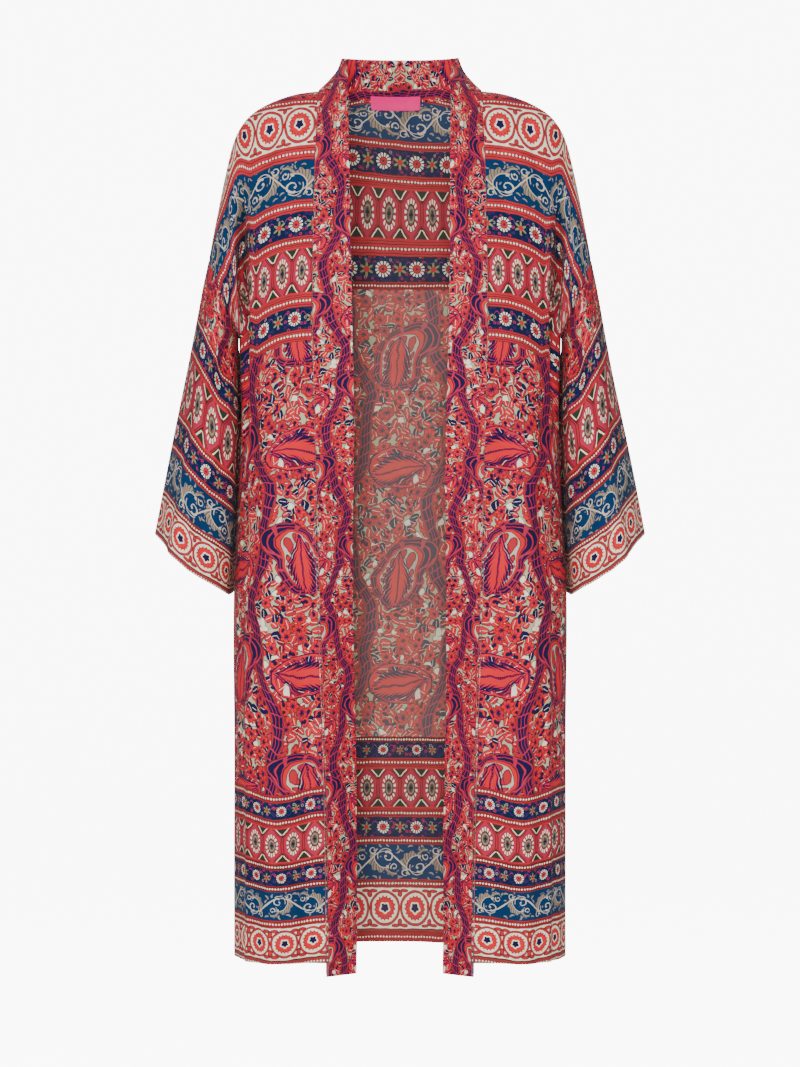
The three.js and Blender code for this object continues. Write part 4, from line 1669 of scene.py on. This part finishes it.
def draw_leaf(
    tree: Tree, ground: Colour, x: Flow, y: Flow, reach: float, width: float
) -> Socket:
    """Draws a coral leaf with a jagged navy fringe.

    Args:
        tree: The tree to draw in.
        ground: What lies under it.
        x: Millimetres from its midrib.
        y: Millimetres along it, from its middle.
        reach: Half its length.
        width: Half its width without the fringe.

    Returns:
        The colour.
    """
    share = y / reach
    swell = (1.0 - share * share).at_least(0.0) ** 0.7 * (1.0 - share * 0.35) * width
    aside = abs(x)
    inside = abs(share) < 1.0
    slant = (y + aside * 1.7) / 7.4
    return tree.layers(
        ground,
        ((aside < (swell * 1.75 - slant.frac() * 7.5)) & inside, INKS.navy),
        ((aside < (swell * 1.12 - (slant + 0.35).frac() * 5.4)) & inside, INKS.bright),
        ((aside < 1.1) & (abs(share) < 0.86), INKS.navy),
        ((aside < 0.4) & ((y / 3.0).frac() < 0.4) & (abs(share) < 0.8), INKS.rose),
    )


def new_group(
    name: str, inputs: tuple[str, ...], draw: Callable[..., object]
) -> bpy.types.NodeTree:
    """Makes a node group with number inputs and one colour output.

    Args:
        name: The group's name.
        inputs: The inputs' names.
        draw: Draws the colour from a tree and the inputs.

    Returns:
        The group.
    """
    group = bpy.data.node_groups.new(name, "ShaderNodeTree")
    for label in inputs:
        group.interface.new_socket(label, in_out="INPUT", socket_type="NodeSocketFloat")
    group.interface.new_socket("Color", in_out="OUTPUT", socket_type="NodeSocketColor")
    tree = Tree(group)
    source = group.nodes.new("NodeGroupInput")
    flows = [Flow(tree, source.outputs[label]) for label in inputs]
    tree.feed(group.nodes.new("NodeGroupOutput").inputs[0], draw(tree, *flows))
    return group


class Border(Enum):
    """The kinds of printed border; the field is the print between them."""

    FIELD = 0
    BEADS = 1
    ROSETTES = 2
    SCROLL = 3
    DAISIES = 4
    MEDALLIONS = 5
    EDGE = 6


DRAWN = {
    Border.BEADS: draw_beads,
    Border.ROSETTES: draw_rosettes,
    Border.SCROLL: draw_scroll,
    Border.DAISIES: draw_daisies,
    Border.MEDALLIONS: draw_medallions,
    Border.EDGE: draw_edge,
}


@dataclass(frozen=True)
class Row:
    """A printed border: where it starts below the shoulder fold or armhole, and its pitch."""

    kind: Border
    start: float
    pitch: float = 40.0


def border_rows(layout: str) -> tuple[Row, ...]:
    """Reads a layout: each border's kind, its start and, where it has one, its pitch."""
    entries = [entry.split() for entry in layout.split(",")]
    return tuple(Row(Border[kind.upper()], *map(float, sizes)) for kind, *sizes in entries)


FRONT_ROWS = border_rows(
    "beads 34, rosettes 48 40, beads 108, scroll 128 88, beads 178, daisies 194 43, beads 223,"
    "medallions 236 25.5, beads 294, daisies 309 43, beads 335, field 349, beads 877,"
    "daisies 887 37, beads 906, medallions 916 27.5, beads 961, daisies 969 38, beads 988,"
    "scroll 996 78, beads 1030, rosettes 1040 36, edge 1078"
)
BACK_ROWS = border_rows(
    "beads 0, rosettes 10 36, beads 50, scroll 60 80, beads 109, daisies 121 42, beads 152,"
    "medallions 167 27.5, beads 234, daisies 253 42, beads 284, field 294, beads 850,"
    "daisies 857 42, beads 876, medallions 888 27.5, beads 940, daisies 951 42, beads 975,"
    "scroll 985 80, beads 1028, rosettes 1039 38, edge 1090"
)
SLEEVE_BORDERS = border_rows(
    "beads 68, daisies 77 46, beads 104, medallions 115 32, beads 186, daisies 195 46,"
    "beads 221, scroll 231 84, beads 278, rosettes 287 40, edge 329"
)


class Finish:
    """A material, the tree that it is drawn in and its shader."""

    def __init__(self, name: str) -> None:
        """Makes the material."""
        self.material = bpy.data.materials.new(name)
        self.material.use_nodes = True
        self.tree = Tree(self.material.node_tree)
        self.shader = self.material.node_tree.nodes["Principled BSDF"]

    def cloth_place(self) -> Socket:
        """Returns the place on the cloth, in millimetres."""
        uv = self.tree.add("UVMap", {}, uv_map="cloth").outputs[0]
        place = self.tree.vector("SCALE", uv)
        place.node.inputs["Scale"].default_value = 1 / MM
        return place

    def object_place(self) -> Socket:
        """Returns the place on the object, in metres."""
        return self.tree.add("TexCoord", {}).outputs["Object"]

    def dress(self, inputs: dict[str, object]) -> bpy.types.Material:
        """Links or sets the shader's own sockets and returns the material."""
        for name, value in inputs.items():
            self.tree.feed(self.shader.inputs[name], value)
        return self.material


@dataclass(frozen=True)
class PrintedCloth:
    """The finish of the printed cloth on one piece: borders by rows, in millimetres."""

    name: str
    rows: tuple[Row, ...]
    field_shift: tuple[float, float]
    field_scale: float = 1.0
    last_height: float = 12.0
    veil: float = 0.15  # how much paler the field is on the inner side
    paler: float = 0.04  # how much paler all of the inner side is
    shake: float = 2.6  # how unevenly the print lies on the cloth
    weave: float = 0.8

    def material(
        self, groups: dict[Border, bpy.types.NodeTree], inside: bool
    ) -> bpy.types.Material:
        """Makes the material.

        Args:
            groups: The border groups and the field's.
            inside: True for the paler inner side, where the print shows through.

        Returns:
            The material.
        """
        finish = Finish(self.name + ("_inside" if inside else ""))
        tree = finish.tree
        place = finish.cloth_place()
        shake = tree.add("TexNoise", {"Vector": place, "Scale": 0.09}).outputs["Color"]
        shake = tree.vector("SUBTRACT", shake, (0.5, 0.5, 0.5))
        place = tree.vector("MULTIPLY_ADD", shake, (self.shake, self.shake, 0.0), place)
        u, v, _ = tree.split(place)
        colour = self.pattern(tree, groups, u, v, inside)
        return finish.dress({
            "Base Color": self.aged(tree, colour, place, inside),
            "Roughness": 0.82,
            "Specular IOR Level": 0.08,
            "Sheen Weight": 0.03,
            "Sheen Roughness": 0.5,
            "Normal": self.relief(tree, u, v, place),
        })

    def pattern(
        self, tree: Tree, groups: dict[Border, bpy.types.NodeTree], u: Flow, v: Flow, inside: bool
    ) -> Socket:
        """Lays out the rows and returns the print's colour."""
        du, dv = self.field_shift
        inputs = {0: u * self.field_scale + du, 1: v * self.field_scale + dv}
        field = tree.add("Group", inputs, node_tree=groups[Border.FIELD])
        colour = tree.paint(field.outputs[0], self.veil * inside, INKS.pearl)
        if not self.rows:
            return colour
        # each row that a place is past adds its change of start, height, pitch and kind
        sizes, kind = (0.0, 100.0, 40.0), 0.0
        held, held_kind = tree.join(*sizes), tree.math("ADD", 0.0, 0.0)
        ends = [row.start for row in self.rows[1:]] + [self.rows[-1].start + self.last_height]
        for row, end in zip(self.rows, ends):
            past = v > row.start
            new = (row.start, end - row.start, row.pitch)
            change = tuple(a - b for a, b in zip(new, sizes))
            held = tree.vector("MULTIPLY_ADD", tree.join(past, past, past), change, held)
            held_kind = past.op("MULTIPLY_ADD", row.kind.value - kind, held_kind)
            sizes, kind = new, float(row.kind.value)
        start, height, pitch = tree.split(held)
        inputs = {0: u / pitch, 1: (v - start) / height, 2: pitch, 3: height}
        for border in DRAWN:
            if any(row.kind is border for row in self.rows):
                drawn = tree.add("Group", inputs, node_tree=groups[border])
                mask = held_kind.near(float(border.value), 0.1)
                colour = tree.paint(colour, mask, drawn.outputs[0])
        return colour

    def aged(self, tree: Tree, colour: Socket, place: Socket, inside: bool) -> Socket:
        """Lets the inks vary a little, and pales them on the inner side."""
        patch = (tree.noise(place, 0.02, 3.0) - 0.4).at_least(0.0)
        grain = tree.noise(place, 1.1, 1.0) * 0.4
        for mask in (patch, grain):
            colour = tree.paint(colour, mask, INKS.worn, "MULTIPLY")
        return tree.paint(colour, self.paler, INKS.pearl) if inside else colour

    def relief(self, tree: Tree, u: Flow, v: Flow, place: Socket) -> Socket:
        """Returns the normal of the weave and of the cloth's soft crumple."""
        crumple = tree.noise(place, 0.035, 3.0) * 1.6 + tree.noise(place, 0.13, 2.0) * 0.35
        turns = TURN / self.weave
        weave = ((u * turns).sin() * (v * turns).sin()) * 0.03
        return tree.bump(crumple + weave, MM, 0.7)


def satin_finish() -> bpy.types.Material:
    """Makes the finish of the bare label: pink satin with fine ribs, and a darker shaded copy of
    its pink painted along the ribs and in patches as painted shade.
    """
    finish = Finish("label_satin")
    tree = finish.tree
    place = finish.cloth_place()
    _, v, _ = tree.split(place)
    rib = (v * (TURN / 0.7)).sin() * 0.5 + 0.5
    patch = tree.noise(place, 0.12, 2.0)
    return finish.dress({
        # painted shade: a darker shaded copy of the pink is mixed in along the ribs and in patches
        "Base Color": tree.paint(ink(255, 4, 132), rib * 0.3 + patch * 0.3, ink(236, 2, 108)),
        "Roughness": 0.42 + patch * 0.15,
        "Specular IOR Level": 0.15,
        "Normal": tree.bump(rib * 0.05 + patch * 0.5, MM),
    })


def thread_finish() -> bpy.types.Material:
    """Makes the finish of the sewing thread: a soft twist."""
    finish = Finish("hem_thread")
    tree = finish.tree
    x, y, z = tree.split(finish.object_place())
    twist = ((x + y + z) * (TURN / 0.0006)).sin() * 0.5 + 0.5
    return finish.dress({
        "Base Color": tree.paint(ink(120, 40, 52), twist * 0.6, ink(84, 26, 40)),
        "Roughness": 0.6 + twist * 0.2,
        "Normal": tree.bump(twist, 0.0001),
    })


STITCH_UP = 10.5  # the hem stitches' height above the fold, and how far they stand out
STITCH_LIFT = 0.12


@dataclass
class Coat:
    """The whole coat: it builds each piece, dresses it and ties it to its solid."""

    shape: CoatShape

    def finishes(self) -> dict[str, list[bpy.types.Material]]:
        """Makes every finish."""
        groups = {
            kind: new_group(
                kind.name.lower() + "_print",
                ("Across", "Down", "Pitch", "Height"),
                lambda tree, *flows, draw=draw: draw(tree, Spot(*flows)),
            )
            for kind, draw in DRAWN.items()
        }
        groups[Border.FIELD] = new_group("field_print", ("Across", "Down"), draw_field)
        made = {"label_satin": [satin_finish()], "hem_thread": [thread_finish()]}
        for cloth in (
            PrintedCloth("front_cloth", FRONT_ROWS, (30.0, 60.0)),
            PrintedCloth("back_cloth", BACK_ROWS, (52.0, 20.0), last_height=16.0),
            PrintedCloth("sleeve_cloth", SLEEVE_BORDERS, (0.0, 150.0)),
            PrintedCloth("band_cloth", (), (70.0, 40.0), 1.4),
        ):
            made[cloth.name] = [cloth.material(groups, inside) for inside in (False, True)]
        return made

    def place(
        self,
        thing: bpy.types.Object,
        finish: list[bpy.types.Material],
        slot: str,
        node: str | None = None,
    ) -> None:
        """Gives a piece its finish, ties it to the root body, hides the part that it replaces and
        logs its triangles.
        """
        for material in finish:
            thing.data.materials.append(material)
        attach(thing, "root")
        if node:
            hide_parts(node)
        thing.data.calc_loop_triangles()
        LOG.info("%s: %d triangles", thing.name, len(thing.data.loop_triangles))

    def build(self) -> None:
        """Builds and dresses every piece."""
        finishes = self.finishes()
        thread = Stitching()

        def hemmed(
            piece: str, node: str, sheet: Sheet, facing: int, looped: bool = False
        ) -> tuple[bpy.types.Object, bpy.types.Object]:
            """Builds a printed piece and the stitches along its hem or cuff."""
            cloth_name, _, word = piece.partition("_cloth")
            cloth = build_wall(piece, sheet, facing, looped)
            self.place(cloth, finishes[cloth_name + "_cloth"], "printed_cloth", node)
            hem = "cuff_stitches" if looped else "hem_stitches"
            line = hem_line(sheet, STITCH_UP, STITCH_LIFT)
            stitches = thread.along(hem + (word or "_back"), *line)
            self.place(stitches, finishes["hem_thread"], "printed_cloth")
            return cloth, stitches

        for side, word in ((-1, "left"), (1, "right")):
            sheet = self.shape.front_sheet(side)
            cloth, stitches = hemmed(f"front_cloth_{word}", f"front_{word}", sheet, side)

            sheet = self.shape.sleeve_sheet(side)
            cloth, stitches = hemmed(f"sleeve_cloth_{word}", f"sleeve_{word}", sheet, side, True)

            band = build_wall(f"band_cloth_{word}", NeckBand(self.shape, side).sheet(), side)
            self.place(band, finishes["band_cloth"], "band_cloth", f"band_{word}")

        cloth, stitches = hemmed("back_cloth", "back", self.shape.back_sheet(), -1)

        label = NeckLabel()
        tag = build_wall("label", label.sheet(), -1, thickness=label.thickness)
        self.place(tag, finishes["label_satin"], "label_satin", "neck_label")


def look_along(way: list[float]) -> tuple[float, float, float]:
    """Returns the turn of a camera or light that looks along a direction."""
    x, y, z = way
    return (math.atan2(math.hypot(x, y), -z), 0.0, math.atan2(-x, y) if (x or y) else 0.0)


@dataclass(frozen=True)
class Softbox:
    """A large soft light: its place and what it looks at, in metres, its size and power."""

    name: str
    at: tuple[float, float, float]
    size: float
    power: float
    aim: tuple[float, float, float] = (0.0, 0.0, -0.5)

    def make(self) -> None:
        """Adds the light."""
        data = bpy.data.lights.new(self.name, "AREA")
        data.shape = "SQUARE"
        data.size = self.size
        data.energy = self.power
        lamp = bpy.data.objects.new(self.name, data)
        bpy.context.collection.objects.link(lamp)
        lamp.location = self.at
        lamp.rotation_euler = look_along([b - a for a, b in zip(self.at, self.aim)])


SOFTBOXES = (
    Softbox("light_front", (-0.2, -4.9, 0.1), 1.2, 215.0),
    Softbox("light_left", (-3.2, -3.4, 1.6), 2.0, 66.0),
    Softbox("light_right", (3.2, -3.4, 1.2), 2.0, 36.0),
    Softbox("light_above", (0, -0.4, 2.8), 2.2, 34.0),
    Softbox("light_behind", (0, 3.8, 2.4), 2.2, 90.0),
)


@dataclass
class Studio:
    """The pale floor and backdrop, the soft light and the camera, in metres."""

    floor: float = -1.62
    floor_size: tuple[float, float] = (24.0, 16.0)
    wall_begins: float = 8.0
    wall_steps: int = 8
    wall_step: float = 0.5
    wall_height: float = 9.0
    distance: float = 4.3
    eye: float = -0.537
    view_height: float = 17.118  # degrees
    glow: float = 9.0  # what the paper adds to the camera's view, so that it looks white
    air: float = 0.3
    sensor: float = 36.0

    def backdrop(self) -> None:
        """Adds a floor that curves up into a wall far behind."""
        bpy.ops.object.select_all(action="DESELECT")
        bpy.ops.mesh.primitive_plane_add(size=1, location=(0, 0, 0))
        sheet = bpy.context.object
        sheet.name = "studio_floor"
        bpy.ops.object.mode_set(mode="EDIT")
        bpy.ops.mesh.select_all(action="SELECT")
        bpy.ops.transform.resize(value=(*self.floor_size, 1))
        bpy.ops.transform.translate(value=(0, 0, self.floor))
        bpy.ops.object.mode_set(mode="OBJECT")
        mesh = sheet.data
        far = self.wall_begins - 1
        for edge in mesh.edges:
            edge.select = all(mesh.vertices[i].co.y > far for i in edge.vertices)
        for face in mesh.polygons:
            face.select = False
        for vertex in mesh.vertices:
            vertex.select = vertex.co.y > far
        bpy.ops.object.mode_set(mode="EDIT")
        for _ in range(self.wall_steps):
            step = {"value": (0, self.wall_step, 0)}
            bpy.ops.mesh.extrude_region_move(TRANSFORM_OT_translate=step)
        bpy.ops.object.mode_set(mode="OBJECT")
        for vertex in mesh.vertices:
            beyond = max(0.0, vertex.co.y - self.wall_begins)
            if beyond:
                bend = min(beyond / (self.wall_steps * self.wall_step), 1.0)
                vertex.co.z = self.floor + self.wall_height * bend**3
        mesh.materials.append(self.paper())

    def paper(self) -> bpy.types.Material:
        """Makes the backdrop's finish: paper that looks white to the camera."""
        finish = Finish("studio_paper")
        tree = finish.tree
        patch = tree.noise(finish.object_place(), 0.4, 2.0)
        seen = Flow(tree, tree.add("LightPath", {}).outputs["Is Camera Ray"])
        return finish.dress({
            "Base Color": tree.paint((0.92, 0.92, 0.92, 1), patch * 0.3, (0.9, 0.9, 0.91, 1)),
            "Roughness": 0.9,
            "Emission Color": (1.0, 1.0, 1.0, 1.0),
            "Emission Strength": seen * self.glow,
        })

    def light(self) -> None:
        """Adds the soft lights and the white surroundings."""
        for box in SOFTBOXES:
            box.make()
        world = bpy.data.worlds.new("studio_air")
        world.use_nodes = True
        sky = world.node_tree.nodes["Background"]
        sky.inputs["Color"].default_value = (1, 1, 1, 1)
        sky.inputs["Strength"].default_value = self.air
        bpy.context.scene.world = world

    def camera(self) -> None:
        """Adds the camera: level, a little below the coat's middle, in front of it."""
        data = bpy.data.cameras.new("camera")
        data.sensor_width = self.sensor
        data.lens = self.sensor / 2 / math.tan(math.radians(self.view_height) / 2)
        eye = bpy.data.objects.new("camera", data)
        bpy.context.collection.objects.link(eye)
        eye.location = (0.0, -self.distance, self.eye)
        eye.rotation_euler = (QUARTER, 0.0, 0.0)
        bpy.context.scene.camera = eye

    def make(self) -> None:
        """Makes the whole studio."""
        self.backdrop()
        self.light()
        self.camera()


def main() -> None:
    """Builds the studio and the coat."""
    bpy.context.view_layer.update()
    Studio().make()
    Coat(CoatShape()).build()


if __name__ == "__main__":
    logging.basicConfig(level=logging.INFO, format="%(message)s")
    main()
